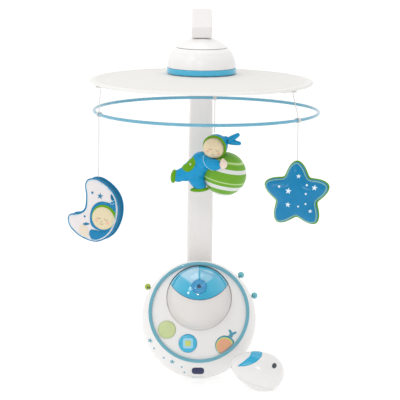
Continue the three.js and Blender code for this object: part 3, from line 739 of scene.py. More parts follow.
def stitches(name, points, look, length, space, radius):
    """Separate stitches along a line of points."""
    points = [Vector(p) for p in points]
    run = 0.0
    along = [0.0]
    for a, b in zip(points, points[1:]):
        along.append(along[-1] + (b - a).length)

    def spot(distance):
        i = max(0, min(len(points) - 2, int(np.searchsorted(along, distance)) - 1))
        span = max(1e-6, along[i + 1] - along[i])
        return points[i].lerp(points[i + 1], (distance - along[i]) / span)

    verts, faces = [], []
    while run + length < along[-1]:
        a, b = spot(run), spot(run + length)
        way = (b - a).normalized()
        side = way.orthogonal().normalized()
        other = way.cross(side)
        rows = []
        for t, scale in ((0.0, 0.35), (0.15, 0.85), (0.5, 1.0), (0.85, 0.85), (1.0, 0.35)):
            rows.append(len(verts))
            verts += [a.lerp(b, t) + radius * scale * (math.cos(angle) * side + math.sin(angle) * other)
                      for angle in turns(6)]
        for r, q in zip(rows, rows[1:]):
            faces += [(r + k, r + (k + 1) % 6, q + (k + 1) % 6, q + k) for k in range(6)]
        faces += [tuple(rows[0] + k for k in range(6)), tuple(rows[-1] + k for k in range(6))]
        run += length + space
    return mesh_object(name, verts, faces, look, 80)


def cord_curve(name, points, radius):
    """A string as one open spline with a round section."""
    data = bpy.data.curves.new(name, "CURVE")
    data.dimensions = "3D"
    data.bevel_depth, data.bevel_resolution = radius * MM, 3
    data.use_fill_caps = True
    line = data.splines.new("POLY")
    line.points.add(len(points) - 1)
    for spot, p in zip(line.points, points):
        spot.co = (*(MM * Vector(p)), 1.0)
    data.materials.append(LOOK["string"])
    obj = bpy.data.objects.new(name, data)
    scene.collection.objects.link(obj)
    return obj


# ---------- Frame facts in millimetres ----------

AXIS = joint_point("carousel_spin")
AXIS.z = 0.0
TOYS = ("moon", "doll", "star")
KNOT = {toy: joint_point(f"{toy}_rock") for toy in TOYS}
RING_Z = KNOT["moon"].z
RING_LOW, RING_HIGH = corners("hanging_ring")
RING_CENTRE = (RING_LOW + RING_HIGH) / 2
RING_TUBE = (RING_HIGH.z - RING_LOW.z) / 2
RING_RADIUS = (RING_HIGH.x - RING_LOW.x) / 2 - RING_TUBE


# ---------- Strings, built first -------------

def end_of(node, level):
    """The middle of a leaning string's CAD vertices round one of its ends."""
    near = [v.co / MM for v in frame["nodes"][node].data.vertices if abs(v.co.z / MM - level) < 1.2]
    middle = sum(near, Vector()) / len(near)
    middle.z = level
    return middle


def strings():
    """The six taut strings: one above and one below the ring for each toy."""
    radius, spans = 0.6, 15
    for toy in TOYS:
        for kind in ("upper", "lower"):
            node = f"{kind}_string_{toy}"
            low, high = corners(node)
            if kind == "upper":
                top, bottom = end_of(node, high.z), end_of(node, low.z)
            else:
                middle = (low + high) / 2
                top, bottom = Vector((middle.x, middle.y, high.z)), Vector((middle.x, middle.y, low.z))
            string = cord_curve(f"{node}_thread", [top.lerp(bottom, k / spans) for k in range(spans + 1)],
                                radius)
            settle(string, node)


strings()


# ---------- Mast, arm, socket and clamp ----------

def mast():
    """A tall hollow bar with a soft ridge down its front, widest below its middle."""
    low, high = corners("mast")
    middle_y, depth = (low.y + high.y) / 2, high.y - low.y
    levels, widths = (low.z, 85, 145, 230, 300, high.z), (36.0, 36.4, 37.1, 35.6, 33.4, 31.0)
    ridge_x, ridge_high = -2.5, 0.75

    def ring(z):
        """The outline at a height, with extra points along its long sides so that the ridge shows."""
        width = float(np.interp(z, levels, widths))
        base = [Vector((x, middle_y + y + (0.7 * min(1, abs(x - ridge_x) / 9) if y < 0 else 0.0), z))
                for x, y in section(width, depth, 6.0, 8)]
        out = []
        for a, b in zip(base, base[1:] + base[:1]):
            out.append(a)
            for k in range(1, 12) if (b - a).length > 4 else ():
                p = a.lerp(b, k / 12)
                if a.y < middle_y - 4 and b.y < middle_y - 4:
                    away = min(1, abs(p.x - ridge_x) / (0.42 * width))
                    p.y = low.y + ridge_high * (1 - (1 - away) ** 1.4)
                out.append(p)
        return out

    outer = [ring(low.z + (high.z - low.z) * k / 40) for k in range(41)]
    outer[0] = [p.lerp(Vector((0, middle_y, p.z)), 0.02) for p in outer[0]]  # its foot is a little smaller
    bore = [[Vector((p.x * 0.9, middle_y + (p.y - middle_y) * 0.86, p.z)) for p in row]
            for row in (outer[-1], outer[0])]
    settle(skin("mast_moulding", [*outer, *bore], "white", loop=True), "mast")


def arm():
    """A bar that rises out of the mast, bends forwards at its elbow and runs down a little to its tip."""
    mast_low, mast_high = corners("mast")
    middle_y, depth = (mast_low.y + mast_high.y) / 2, mast_high.y - mast_low.y
    low, _ = corners("arm")
    tip, foot, height, elbow, lift, corner = low.y, low.z, 15.6, 10.0, 2.1, 3.2
    tip_width = 2 * max(abs(v.co.x) / MM for v in frame["nodes"]["arm"].data.vertices if v.co.y < -0.2)
    foot_width, blend = 30.6, 50
    rise = 446 - height / 2
    bend = rise + lift - elbow
    line = [(middle_y, z, 0) for z in (foot, foot + 12, foot + 25, bend)]
    for i in range(1, 13):
        a = math.radians(7.5 * i)
        line.append((middle_y - elbow * (1 - math.cos(a)), bend + elbow * math.sin(a), 7.5 * i))
    slope = lift / (middle_y - elbow - tip)
    line += [(y, rise + slope * (y - tip), 90) for y in (-80, -140, -200, -250, tip + 3)]
    rings = []
    for y, z, turn in line:
        wide = foot_width + (tip_width - foot_width) * min(1, (z - foot) / blend)
        deep = depth + (height - depth) * turn / 90
        c, s = math.cos(math.radians(turn)), math.sin(math.radians(turn))
        # the corners are rounder at the elbow
        extra = 2.2 * math.sin(math.pi * min(1.0, max(0.0, (z - bend + 12) / 34))) if turn < 90 else 0.0
        rings.append([Vector((x, y + v * c, z + v * s)) for x, v in section(wide, deep, corner + extra, 8)])
    for inset, y in ((0.25, tip + 1.0), (0.8, tip + 0.25), (1.8, tip)):
        rings.append([Vector((x, y, rise + v)) for x, v in
                      section(tip_width - 2 * inset, height - 2 * inset, 3.0, 8)])
    settle(skin("arm_moulding", rings, "white"), "arm")


def socket():
    """The sleeve on the back of the base that the mast's foot stands in."""
    mast_low, mast_high = corners("mast")
    depth = mast_high.y - mast_low.y
    low, high = corners("mast_socket")
    middle_y = (low.y + high.y) / 2
    rows = [[Vector((x, middle_y + y, z)) for x, y in
             section(48 - 2 * inset, high.y - low.y - 2 * inset, 5, 8)]
            for z, inset in ((low.z, 1.2), (low.z + 0.5, 0.4), (low.z + 1.6, 0), (high.z - 1.4, 0),
                             (high.z - 0.4, 0.4), (high.z, 1.2))]
    sleeve = skin("socket_moulding", rows, "white")
    mast_y = (mast_low.y + mast_high.y) / 2
    cut(sleeve, prism([(x, mast_y + y) for x, y in section(37.6, depth + 0.8, 5)], low.z + 2.6, high.z + 4))
    shade(sleeve)
    settle(sleeve, "mast_socket")


def clamp():
    """The bracket over the rail, its screw with a rubber pad, and the knob that turns it."""
    along_y = aim((0, 1, 0))
    low, high = corners("rail_bracket")
    bridge, leg_near, leg_far, leg_low = 6.0, 38.0, 44.0, -30.0
    side = [(low.y, low.z), (0, low.z), (0, high.z - bridge), (leg_near, high.z - bridge),
            (leg_near, leg_low),
            (leg_far, leg_low), (leg_far, high.z), (low.y, high.z)]
    outline = rounded(side, [1.2, 0.8, 1.5, 1.5, 0.8, 1.2, 5, 4], 5, loop=True)
    rows = [[Vector((x, y, z)) for y, z in shrunk(outline, inset)]
            for x, inset in ((low.x, 0.5), (low.x + 0.15, 0.2), (low.x + 0.5, 0), (high.x - 0.5, 0),
                             (high.x - 0.15, 0.2), (high.x, 0.5))]
    body = skin("bracket_moulding", rows, "white")
    screw_low, screw_high = corners("clamp_screw")
    radius = (screw_high.z - screw_low.z) / 2
    cut(body, rod(radius + 0.4, leg_near - 3, leg_far + 3, along_y))
    shade(body)
    settle(body, "rail_bracket")

    pad_low, pad_high = corners("clamp_pad")
    r = (pad_high.x - pad_low.x) / 2
    profile = [(0, pad_low.y)]
    for k in range(4):  # shallow grip rings on the pad's face
        inner = 1.5 + k * (r - 2.5) / 4
        profile += [(inner, pad_low.y), (inner + 0.4, pad_low.y + 0.5), (inner + 1.0, pad_low.y + 0.5),
                    (inner + 1.4, pad_low.y)]
    profile += rounded([(r - 1, pad_low.y), (r, pad_low.y + 1), (r, pad_high.y), (0, pad_high.y)], 0.4)
    settle(lathe("pad_rubber", profile, "dark", along_y, 64), "clamp_pad")

    pitch, thread = 2.0, [(0, screw_low.y), (radius - 0.8, screw_low.y)]
    y = screw_low.y + 0.8
    while y < screw_high.y - pitch:
        thread += [(radius - 0.6, y), (radius, y + 0.5 * pitch)]
        y += pitch
    thread += [(radius - 0.6, screw_high.y - 0.5), (0, screw_high.y)]
    settle(lathe("screw_thread", thread, "steel", along_y, 48, smooth=25), "clamp_screw")

    low, high = corners("clamp_knob")
    big = (high.x - low.x) / 2
    rows = []
    for y, inset in ((low.y, 1.6), (low.y + 0.5, 0.5), (low.y + 1.6, 0), (high.y - 3.2, 0),
                     (high.y - 1.2, 0.8),
                     (high.y - 0.2, 3.0), (high.y, 5.0), (high.y - 0.6, 6.5), (high.y - 0.8, 9.0)):
        reaches = [(a, big - inset - 1.6 * max(0.0, 1 - inset / 5) * (1 - math.cos(6 * a)) / 2)
                   for a in turns(144)]  # six hollows round its edge for the fingers
        rows.append([Vector((reach * math.cos(a), y, reach * math.sin(a))) for a, reach in reaches])
    knob = skin("knob_moulding", rows, "blue")
    cut(knob, rod(radius + 0.3, low.y - 4, screw_high.y + 0.3, along_y))
    shade(knob)
    settle(knob, "clamp_knob")


mast()
arm()
socket()
clamp()


# ---------- Motor head and carousel ----------

def motor_head():
    """The dome over the motor, its cap, its blue band and the floor under it."""
    place = Matrix.Translation(AXIS)
    low, high = corners("dome_shell")
    r = (high.x - low.x) / 2
    outer = [(r, low.z), (r - 0.4, low.z + 5.3), (r - 2.2, low.z + 13.3), (40.2, low.z + 20.5)]
    profile = spline(outer, 30, loop=False)[:-1]
    profile[:1] = [(r - 0.5, low.z), (r - 0.1, low.z + 0.4)]
    # a fine groove near the top of the shell
    profile += rounded([(40.4, 410.8), (39.95, 411.05), (39.9, 411.5), (34.9, high.z), (32.6, high.z - 0.3)],
                       [0.2, 0.15, 0.2, 0.25, 0.3], 4)
    profile += [(37.4, 409.8), (43.0, 396), (43.4, low.z + 0.4)]
    shell = lathe("dome_moulding", profile, "dome_white", place, 128, loop=True)
    settle(shell, "dome_shell")

    c_low, c_high = corners("dome_cap")
    cap = [(0, c_high.z), (12, c_high.z - 0.6), (18, c_high.z - 2.7), (26, c_high.z - 6.5),
           (34.3, c_low.z + 0.45)]
    profile = spline(cap, 30, loop=False)
    profile += [(34.4, c_low.z + 0.15), (33.9, c_low.z), (32.2, c_low.z), (22, 423.2), (11, 427.2),
                (0, 427.6)]
    settle(lathe("dome_cap_moulding", profile, "dome_white", place, 128), "dome_cap")

    b_low, b_high = corners("dome_band")
    r = (b_high.x - b_low.x) / 2
    band = rounded([(43.9, b_low.z), (r - 0.7, b_low.z), (r, (b_low.z + b_high.z) / 2), (r - 0.5, b_high.z),
                    (43.9, b_high.z)], [0.2, 0.9, 3, 0.9, 0.2], 6, loop=True)
    settle(lathe("blue_band", band, "blue", place, 160, loop=True), "dome_band")
    f_low, f_high = corners("head_floor")
    floor = rounded([(4.6, f_low.z), (43.4, f_low.z), (43.4, f_high.z), (4.6, f_high.z)], 0.5, 4, loop=True)
    settle(lathe("head_floor_plate", floor, "white", place, 96, loop=True), "head_floor")


FLAT = 47.0  # the cloth is level inside this radius


def canopy():
    """The stretched cloth, its bound rim, the spider that holds it, the nut and the hanging ring."""
    place = Matrix.Translation(AXIS)
    rim_low, rim_high = corners("canopy_rim")
    cloth_low, cloth_high = corners("canopy_cloth")
    outer = (rim_high.x - rim_low.x) / 2
    inner = (cloth_high.x - cloth_low.x) / 2
    spokes = [math.atan2(*reversed((corners(f"upper_string_{toy}")[1] - AXIS)[:2])) for toy in TOYS]
    top_z, edge_z = cloth_high.z - 0.1, rim_high.z - 0.8
    rows, spans = [], 34
    for k in range(spans + 1):
        radius = 5 + (inner + 1.2 - 5) * (k / spans)
        share = min(1, max(0, (radius - FLAT) / (inner - FLAT)))
        row = []
        for a in turns(144):
            gap = min(abs((a - s + math.pi) % (2 * math.pi) - math.pi) for s in spokes) / (math.pi / 3)
            sag = 0.9 * math.sin(math.pi * share) * gap ** 2  # deepest between the spokes
            pull = 0.12 * math.sin(24 * a) * math.exp(-((radius - inner) / 16) ** 2)
            pull += 0.10 * math.sin(18 * a) * math.exp(-((radius - FLAT) / 14) ** 2)
            lift = top_z + (edge_z - top_z) * share
            row.append(place @ Vector((radius * math.cos(a), radius * math.sin(a), lift - sag + pull)))
        rows.append(row)
    cloth = skin("canopy_screen", rows, "canopy", caps=False, smooth=60)
    thicken(cloth, 0.5)
    shade(cloth, 60)
    settle(cloth, "canopy_cloth")

    low, high = rim_low.z, rim_high.z
    middle = (low + high) / 2
    profile = rounded([(inner - 3.2, edge_z + 0.15), (inner, high - 0.1), (outer - 2, high),
                       (outer, high - 1.5),
                       (outer, low + 1.5), (outer - 2, low), (inner, low + 0.2), (inner - 3.0, edge_z - 1.1)],
                      [0.3, 2.0, 2, 1.6, 1.6, 2, 2, 0.3], 5, loop=True)
    verts, faces = lathe_data(profile, 240, True)
    # the bound edge is sewn, so it swells a little between its stitches
    swollen = []
    for x, y, z in verts:
        a = math.atan2(y, x)
        puff = 1 + 0.0007 * math.sin(120 * a)
        swollen.append(place @ Vector((x * puff, y * puff,
                                       middle + (z - middle) * (1 + 0.03 * math.sin(120 * a)))))
    binding = mesh_object("canopy_binding", swollen, faces, "binding", 60)
    ring = [AXIS + Vector(((inner - 1.0) * math.cos(a), (inner - 1.0) * math.sin(a), edge_z + 0.62))
            for a in (2 * math.pi * i / 360 for i in range(361))]
    seam = stitches("canopy_stitches", ring, "string", length=2.6, space=1.4, radius=0.22)
    settle(binding, "canopy_rim")
    settle(seam, body="carousel")

    s_low, s_high = corners("carousel_spider")
    base, arm_top = s_low.z, 368.3
    hub = rounded([(4.4, base), (30, base), (30, arm_top + 1.6), (16, 373), (16, s_high.z), (4.4, s_high.z)],
                  [0.3, 1.2, 1.2, 2, 0.8, 0.3], 4, loop=True)
    pieces = [lathe("hub", hub, "white", place, 96, loop=True)]
    for angle in spokes:
        turn = place @ Matrix.Rotation(angle, 4, "Z")
        rows = []
        for x, wide, bottom in ((27, 9, base), (60, 8, base), (100, 7.6, base), (133, 7.4, base + 0.2),
                                (137, 7.4, base + 1.4), (141, 7.6, 366.3), (147.4, 7.4, 366.3),
                                (148.6, 6, 366.4),
                                (149, 4.5, 366.6)):
            height = arm_top - bottom
            rows.append([turn @ Vector((x, y, bottom + height / 2 + z))
                         for y, z in section(wide, height, min(1.0, height * 0.4), 4)])
        pieces.append(skin("spoke", rows, "white"))
    spider = merged("spider_moulding", pieces)
    settle(spider, "carousel_spider")
    n_low, n_high = corners("hub_nut")
    nut = rounded([(4.4, n_low.z), (9, n_low.z), (10, n_low.z + 1.8), (10, n_high.z), (4.4, n_high.z)],
                  [0.3, 1, 0.8, 0.5, 0.3], 4, loop=True)
    settle(lathe("nut_moulding", nut, "white", place, 64, loop=True), "hub_nut")

    line = [RING_CENTRE + RING_RADIUS * Vector((math.cos(a), math.sin(a), 0)) for a in turns(200)]
    settle(tube("ring_moulding", line, RING_TUBE, "ring", sides=20, loop=True), "hanging_ring")


def loops():
    """The string looped and knotted round the ring above each toy."""
    for toy in TOYS:
        knot = KNOT[toy]
        out = (Vector((knot.x, knot.y, 0)) - Vector((RING_CENTRE.x, RING_CENTRE.y, 0))).normalized()
        along = Vector((-out.y, out.x, 0))
        pieces = []
        for k, shift in enumerate((-1.7, -0.55, 0.55, 1.7)):
            turn = [knot + along * (shift + 0.3 * math.sin(a + k)) + (RING_TUBE + 0.75) * (
                math.cos(a) * out + math.sin(a) * Vector((0, 0, 1)))
                for a in turns(40)]
            pieces.append(tube("turn", turn, 0.6, "string", sides=8, loop=True))
        for sign in (-1, 1):  # a small knot above, with its two short ends, and one below
            centre = knot + Vector((0, 0, sign * (RING_TUBE + 1.0)))
            curl = [centre + 0.75 * Vector((math.cos(t) * along.x, math.cos(t) * along.y,
                                            math.sin(2 * t) * 0.35))
                    + out * 0.75 * math.sin(t) for t in turns(30)]
            pieces.append(tube("knot", curl, 0.55, "string", sides=8, loop=True))
        for side in (-1, 1):
            tail = [knot + Vector((0, 0, 3.1)) - out * 2.2,
                    knot + Vector((0, 0, 2.4)) - out * 3.4 + along * side * 1.2,
                    knot - out * 3.9 + along * side * 2.6 + Vector((0, 0, 0.4))]
            pieces.append(tube("tail", spline(tail, 10, loop=False), 0.45, "string", sides=8))
        settle(merged(f"string_loop_{toy}", pieces), f"ring_loop_{toy}")


motor_head()
canopy()
loops()


# ---------- Projector base ----------

BALL_CENTRE = joint_point("projector_tilt")
BALL_UP, BALL_DEEP = 20.0, -9.0  # where the ball's centre is, up along the face and behind it
FACE_CENTRE = BALL_CENTRE - BALL_UP * FACE_UP - BALL_DEEP * FACE_OUT
# local +Z points out of the face, and +Y up along it
FACE = Matrix.Translation(FACE_CENTRE) @ Matrix.Rotation(math.pi / 2 - LEAN, 4, "X")
# for Surface: x across the face, z up it, seen along local +Y
FACE_VIEW = Matrix.Translation(FACE_CENTRE) @ Matrix.Rotation(-LEAN, 4, "X")
TRIM_IN, TRIM_OUT, PANEL_OUT = 67.8, 72.8, 72.2
PANEL_LOW, PANEL_RIM, PANEL_CROWN = -1.9, 0.6, 3.6
PLAY, MODE, NIGHT = (-45.8, -25.5, 13.0), (-15.4, -44.8, 13.4), (37.9, -47.1, 14.0)
NIGHT_CLIP = 66.8
BALL_RADIUS = 47.5


def crown_at(radius):
    """The panel's height at a radius: it is a little domed."""
    return PANEL_RIM + (PANEL_CROWN - PANEL_RIM) * (1 - (radius / TRIM_IN) ** 2)


def housings():
    """The base's two shells, with the infrared window, the prints and the battery cover."""
    low, high = corners("front_housing")
    half_w, half_h = (high.x - low.x) / 2, (high.z - low.z) / 2
    seam_y = high.y
    sides, wall = 160, 2.5

    def ring(t, inset=0.0):
        """The front shell's ring at a share of the way from its seam to the panel."""
        out = []
        for a in turns(sides):
            c, s = math.cos(a), math.sin(a)
            seam = Vector(((half_w - inset) * c, seam_y, (half_h - inset) * s))
            rim = FACE_CENTRE + (PANEL_LOW - 0.3) * FACE_OUT + (PANEL_OUT - (inset and 4)) * (
                s * FACE_UP + Vector((c, 0, 0)))
            bulge = Vector((seam.x, seam_y + 0.6 * (rim.y - seam_y), seam.z))
            out.append((1 - t) ** 2 * seam + 2 * t * (1 - t) * bulge + t * t * rim)
        return out

    outer = [ring(0, 0.5), ring(0.006, 0.12)] + [ring(k / 22) for k in range(1, 22)] + [ring(0.985),
                                                                                        ring(1.0)]
    inner = [ring(k / 6, 2.5) for k in range(6, -1, -1)]
    front = skin("front_housing_moulding", outer + inner, "housing", loop=True, smooth=40)
    window_low, window_high = corners("infrared_window")
    middle = (window_low + window_high) / 2
    wide, tall = window_high.x - window_low.x, window_high.z - window_low.z
    flat = Matrix.Translation((middle.x, 0, middle.z))
    view = Surface(flat, front)
    pill = section(wide - 0.4, tall - 0.4, tall / 2 - 0.8, 8)
    window = patch("infrared_window_lens", view, pill, "navy", lift=0.0, thick=0.35, step=0.9)
    # the recess that the window sits in
    bar = skin("cutter", [[Vector((middle.x + p[0], y, middle.z + p[1])) for p in section(wide, tall,
                                                                                          tall / 2 - 0.6, 8)]
                          for y in (middle.y - 20, middle.y + 8)], "white")
    cut(front, bar)
    shade(front, 40)
    settle(front, "front_housing")
    settle(window, "infrared_window")

    view = Surface(Matrix(), front)
    prints = []
    for k, (x, z, size, kind) in enumerate((
            (-70.0, -27.9, 4.2, "star"), (-64.2, -39.0, 1.4, "dot"), (-50.1, -52.0, 1.4, "dot"),
            (-37.8, -56.9, 4.3, "star"), (-24.0, -64.5, 1.4, "dot"), (-20.2, -73.8, 1.4, "dot"))):
        outline = star_outline(size, 0.42, 10) if kind == "star" else circle(size, 20)
        prints.append(patch(f"print_{k}", view, outline, "print_teal", lift=0.06, step=0.9, shift=(x, z)))
    for k in range(5):  # small moulded ribs at the very bottom
        x = -7.5 + 3.4 * k
        prints.append(patch(f"rib_{k}", view, section(1.9, 0.9, 0.3, 3), "print_teal", lift=0.05, step=0.6,
                            shift=(x, low.z + 4.2)))
    settle(merged("printed_stars", prints), body="root")

    r_low, r_high = corners("rear_housing")
    bowl = spline([(half_w, r_low.y), (82.4, -50), (81.0, -45), (77.4, -39.4), (72.8, -34.4),
                   (68.5, r_high.y + 0.25), (66, r_high.y)], 26, loop=False)

    def bowl_ring(radius, y):
        return [Vector((radius * math.cos(a), y,
                        radius * math.sin(a) * half_h / half_w)) for a in turns(sides)]

    outer = [bowl_ring(p.x, p.y) for p in bowl] + [bowl_ring(30, r_high.y), bowl_ring(8, r_high.y)]
    inner = [bowl_ring(8, r_high.y - wall), bowl_ring(64, r_high.y - wall)] + [
        bowl_ring(p.x - wall, min(p.y, r_high.y - 2.6)) for p in reversed(bowl[:-4])]
    inner[-1] = bowl_ring(half_w - wall, r_low.y)
    rear = skin("rear_housing_moulding", list(reversed(outer)) + list(reversed(inner)), "housing", smooth=40)
    # the battery opening, four speaker slots, and a slot round the side for each slider
    cover_low, cover_high = corners("battery_cover")
    behind = Matrix.Translation((0, r_high.y + 5, 0)) @ Matrix.Rotation(math.pi / 2, 4, "X")
    tools = [prism([(cover_low.x - 0.3, cover_low.z - 0.3), (cover_high.x + 0.3, cover_low.z - 0.3),
                    (cover_high.x + 0.3, cover_high.z + 0.3), (cover_low.x - 0.3, cover_high.z + 0.3)], -1,
                    12,
                   behind)]
    tools += [prism([(x - 47.5, y - 35.75 + 7 * k) for x, y in section(19, 2.5, 1.2, 4)], -1, 12, behind)
              for k in range(4)]
    half = 84 * math.sin(math.radians(7)) + 2.6
    slot = [(seam_y - 5, -half), (seam_y + 6.4, -half), (seam_y + 6.4, half), (seam_y - 5, half)]
    for name in ("volume", "timer", "brightness"):
        turn = Matrix.Rotation(-knob_place(f"{name}_slider")[0], 4, "Y")
        tools.append(skin("cutter", [[turn @ Vector((x, y, z)) for y, z in slot] for x in (70, 96)], "white"))
    cut(rear, *tools)
    shade(rear, 40)
    settle(rear, "rear_housing")

    cover = section(cover_high.x - cover_low.x, cover_high.z - cover_low.z, 2.5, 5)
    middle = (cover_low + cover_high) / 2
    rows = [[Vector((p[0] * s, y, middle.z + p[1] * s)) for p in cover]
            for y, s in ((cover_low.y, 0.985), (cover_low.y + 0.3, 1), (cover_high.y - 0.4, 1),
                         (cover_high.y, 0.985))]
    lid = skin("battery_cover_moulding", rows, "housing")
    grips = [prism([(p[0], p[1] + middle.z + 12 + 2.4 * k) for p in section(20, 1.0, 0.45, 4)], -0.6, 3,
                   Matrix.Translation((0, cover_high.y, 0)) @ Matrix.Rotation(math.pi / 2, 4, "X"))
             for k in range(4)]
    cut(lid, *grips)
    shade(lid)
    settle(lid, "battery_cover")


def knob_place(node):
    """A slider's angle round the base, and its distance along Y."""
    low, high = corners(node)
    middle = (low + high) / 2
    return math.atan2(middle.z, middle.x), middle.y


def slider_knobs():
    """The three round knobs that slide in the base's side."""
    for node, look in (("volume_slider", "knob_green"), ("timer_slider", "knob_blue"),
                       ("brightness_slider", "knob_blue")):
        angle, y = knob_place(node)
        data = frame["nodes"][node].data
        way = Vector((math.cos(angle), 0, math.sin(angle)))
        reach = [v.co.dot(way) / MM for v in data.vertices]
        near, far = min(reach), max(reach)
        start = far - 7.8
        profile = [(0, near), (1.8, near), (1.8, start)] + rounded(
            [(3.4, start), (4.8, start + 1.6), (4.8, start + 4.2), (3.2, start + 6.9), (0, far)],
            [0.2, 1.6, 2.4, 3.0, 0], 7)
        knob = lathe(f"{node}_knob", profile, look, aim(way, (0, y, 0)), 48)
        settle(knob, node)
        # painted shade: a small dark disc for the dimple in the middle of the knob's front
        spot = way * (start + 3.2) + Vector((0, y - 4.75, 0))
        dot = lathe(f"{node}_dot", [(0, 0.25), (0.9, 0.2), (1.25, 0), (0, 0)], "dark" if look == "knob_green"
                    else "night_hood", aim((0, -1, 0), spot), 24)
        settle(dot, body=BODY_OF[node])


def face_panel():
    """The domed panel with its holes, and the trim ring round it."""
    top = [(radius, crown_at(radius)) for radius in np.linspace(0, TRIM_IN - 0.5, 40)]
    profile = top + [(TRIM_IN, PANEL_RIM), (PANEL_OUT - 0.3, PANEL_RIM), (PANEL_OUT, PANEL_RIM - 0.3),
                     (PANEL_OUT, PANEL_LOW), (40, PANEL_LOW), (0, PANEL_LOW)]
    panel = lathe("face_panel_moulding", profile, "housing", FACE, 160, smooth=30)
    # the projector's hole follows the ball closely
    clear = BALL_RADIUS + 0.6
    ball = [(clear * math.sin(a), clear * math.cos(a)) for a in np.linspace(0, math.pi, 120)]
    tools = [lathe("cutter", ball, "white", aim(FACE_OUT, BALL_CENTRE + 0.4 * FACE_UP), 200)]
    for x, y, radius in (PLAY, MODE):
        tools.append(prism(circle(radius + 0.06, 96, (x, y)), -9, 9, FACE))
    tools.append(prism(clipped(circle(NIGHT[2] + 0.1, 96, NIGHT[:2]), NIGHT_CLIP + 0.1), -9, 9, FACE))
    cut(panel, *tools)
    bevel(panel, 0.35, 50)
    shade(panel, 32)
    settle(panel, "face_panel")

    low, high = 0.9, 3.9
    band = rounded([(TRIM_IN, low), (TRIM_OUT, low), (TRIM_OUT, high), (TRIM_IN, high)],
                   [0.2, 0.5, 2.3, 2.3], 7,
                   loop=True)
    settle(lathe("trim_ring_moulding", band, "teal", FACE, 200, loop=True), "face_trim_ring")


def clipped(outline, reach):
    """An outline pulled in to a reach from the face's centre, as the trim ring cuts it off."""
    return [(x * k, y * k) for x, y in outline for k in [min(1.0, reach / math.hypot(x, y))]]


def buttons():
    """The play and mode buttons with their marks, and the night light."""
    rest = PANEL_LOW - 1.2
    for node, (x, y, radius), look in (("play_button", PLAY, "green"), ("mode_button", MODE, "blue")):
        top = crown_at(math.hypot(x, y) - radius)
        crown = rounded([(radius - 0.12, rest), (radius - 0.12, top), (radius - 2.0, top + 1.5),
                         (0, top + 2.2)],
                        [0, 0.9, 2.0, 0], 7)
        profile = [(0, -10.4), (3, -10.4), (3, rest - 1.6), (radius + 1, rest - 1.6),
                   (radius + 1, rest)] + crown
        cap = lathe(f"{node}_moulding", profile, look, FACE @ Matrix.Translation((x, y, 0)), 96)
        settle(cap, node)
        view = Surface(FACE_VIEW, cap)
        body = BODY_OF[node]
        if node == "mode_button":
            square = patch("mode_inlay", view, section(14.8, 14.8, 4.0, 8), "pale_blue", lift=0.05,
                           thick=0.25,
                           step=1.2, shift=(x, y))
            petals = [((4.5 - 0.55 * math.cos(4 * a)) * math.cos(a),
                       (4.5 - 0.55 * math.cos(4 * a)) * math.sin(a))
                      for a in turns(48)]
            flower = patch("mode_flower", Surface(FACE_VIEW, cap, square), petals, "lime", lift=0.05,
                           thick=0.2,
                           step=0.9, shift=(x, y))
            settle(square, body=body)
            settle(flower, body=body)
        else:
            marks = []  # two fine raised rings, with dots between them
            for k, r in enumerate((10.6, 4.2)):
                marks.append(stroke(f"ring_{k}", view, circle(r, 12, (x, y)), 0.28, "green", lift=0.0,
                                    count=72,
                                    loop=True))
            for k, spot in enumerate(circle(7.4, 12, (x, y))):
                marks.append(patch(f"dot_{k}", view, circle(0.75, 12), "lime", lift=0.02, thick=0.12,
                                   step=0.7,
                                   shift=spot))
            settle(merged("play_marks", marks), body=body)
    night_light(rest)


def night_light(rest):
    """A hood with a round, lined face in it, cut off by the trim ring, and two tips on the panel."""
    x, y, radius = NIGHT
    body = BODY_OF["night_light_button"]
    outline = clipped(circle(radius, 96, (x, y)), NIGHT_CLIP)
    levels = [(-4.2, 0.93), (rest, 1.0), (0.9, 1.0), (1.7, 0.985), (2.3, 0.94), (2.7, 0.86), (3.0, 0.7),
              (3.1, 0.4),
              (3.15, 0.1)]
    rows = [[FACE @ Vector((x - 1 + (p[0] - x + 1) * s, y + 1 + (p[1] - y - 1) * s, z)) for p in outline]
            for z, s in levels]
    stem = lathe("stem", [(0, -10.4), (3, -10.4), (3, -4.0), (0, -4.0)], "night_hood",
                 FACE @ Matrix.Translation((x - 1, y, 0)), 32)
    hood = merged("night_hood_cap", [skin("hood", rows, "night_hood", smooth=40), stem])
    settle(hood, "night_light_button")

    middle = (x - 0.4, y - 0.8)
    rim, lens = (clipped(circle(r, 72, middle), NIGHT_CLIP - 0.8) for r in (12.4, 10.8))
    rim = patch("night_rim", Surface(FACE_VIEW, hood), rim, "lime", lift=0.02, thick=0.25, step=1.4)
    face = patch("night_face_lens", Surface(FACE_VIEW, hood, rim), lens, "night_face", lift=0.02, thick=0.3,
                 step=1.4, shift=(-0.5, -0.5))
    view = Surface(FACE_VIEW, face)
    lines = []
    for k in range(4):  # fine raised lines that spread the light
        left = middle[0] - 7.2 + 4.4 * k
        line = [(left + 0.5 * t + 1.2 * math.sin(0.5 * t), middle[1] + t) for t in (-3.6, -1.2, 1.2, 3.6)]
        lines.append(stroke(f"line_{k}", view, line, 0.2, "lime", lift=0.05, count=12))
    settle(rim, body=body)
    settle(face, body=body)
    settle(merged("night_face_lines", lines), body=body)
    panel = Surface(FACE_VIEW, bpy.data.objects["face_panel_moulding"])
    tips = [(4, 12.8), (6.6, 16.6), (4.8, 22.4), (8.6, 21.6), (10.2, 18.6), (15.0, 20.0), (16.6, 18.2),
            (11.6, 14.8),
            (9.6, 11.0)]
    knot = patch("night_hood_tips", panel, spline(tips, 60), "night_hood", lift=0.02, thick=0.5, step=1.1,
                 shift=(x, y))
    settle(knot, body="root")


PARTING = (65.4, 48.4)  # the bar that parts the ball's window from its shell: height on the face, and radius


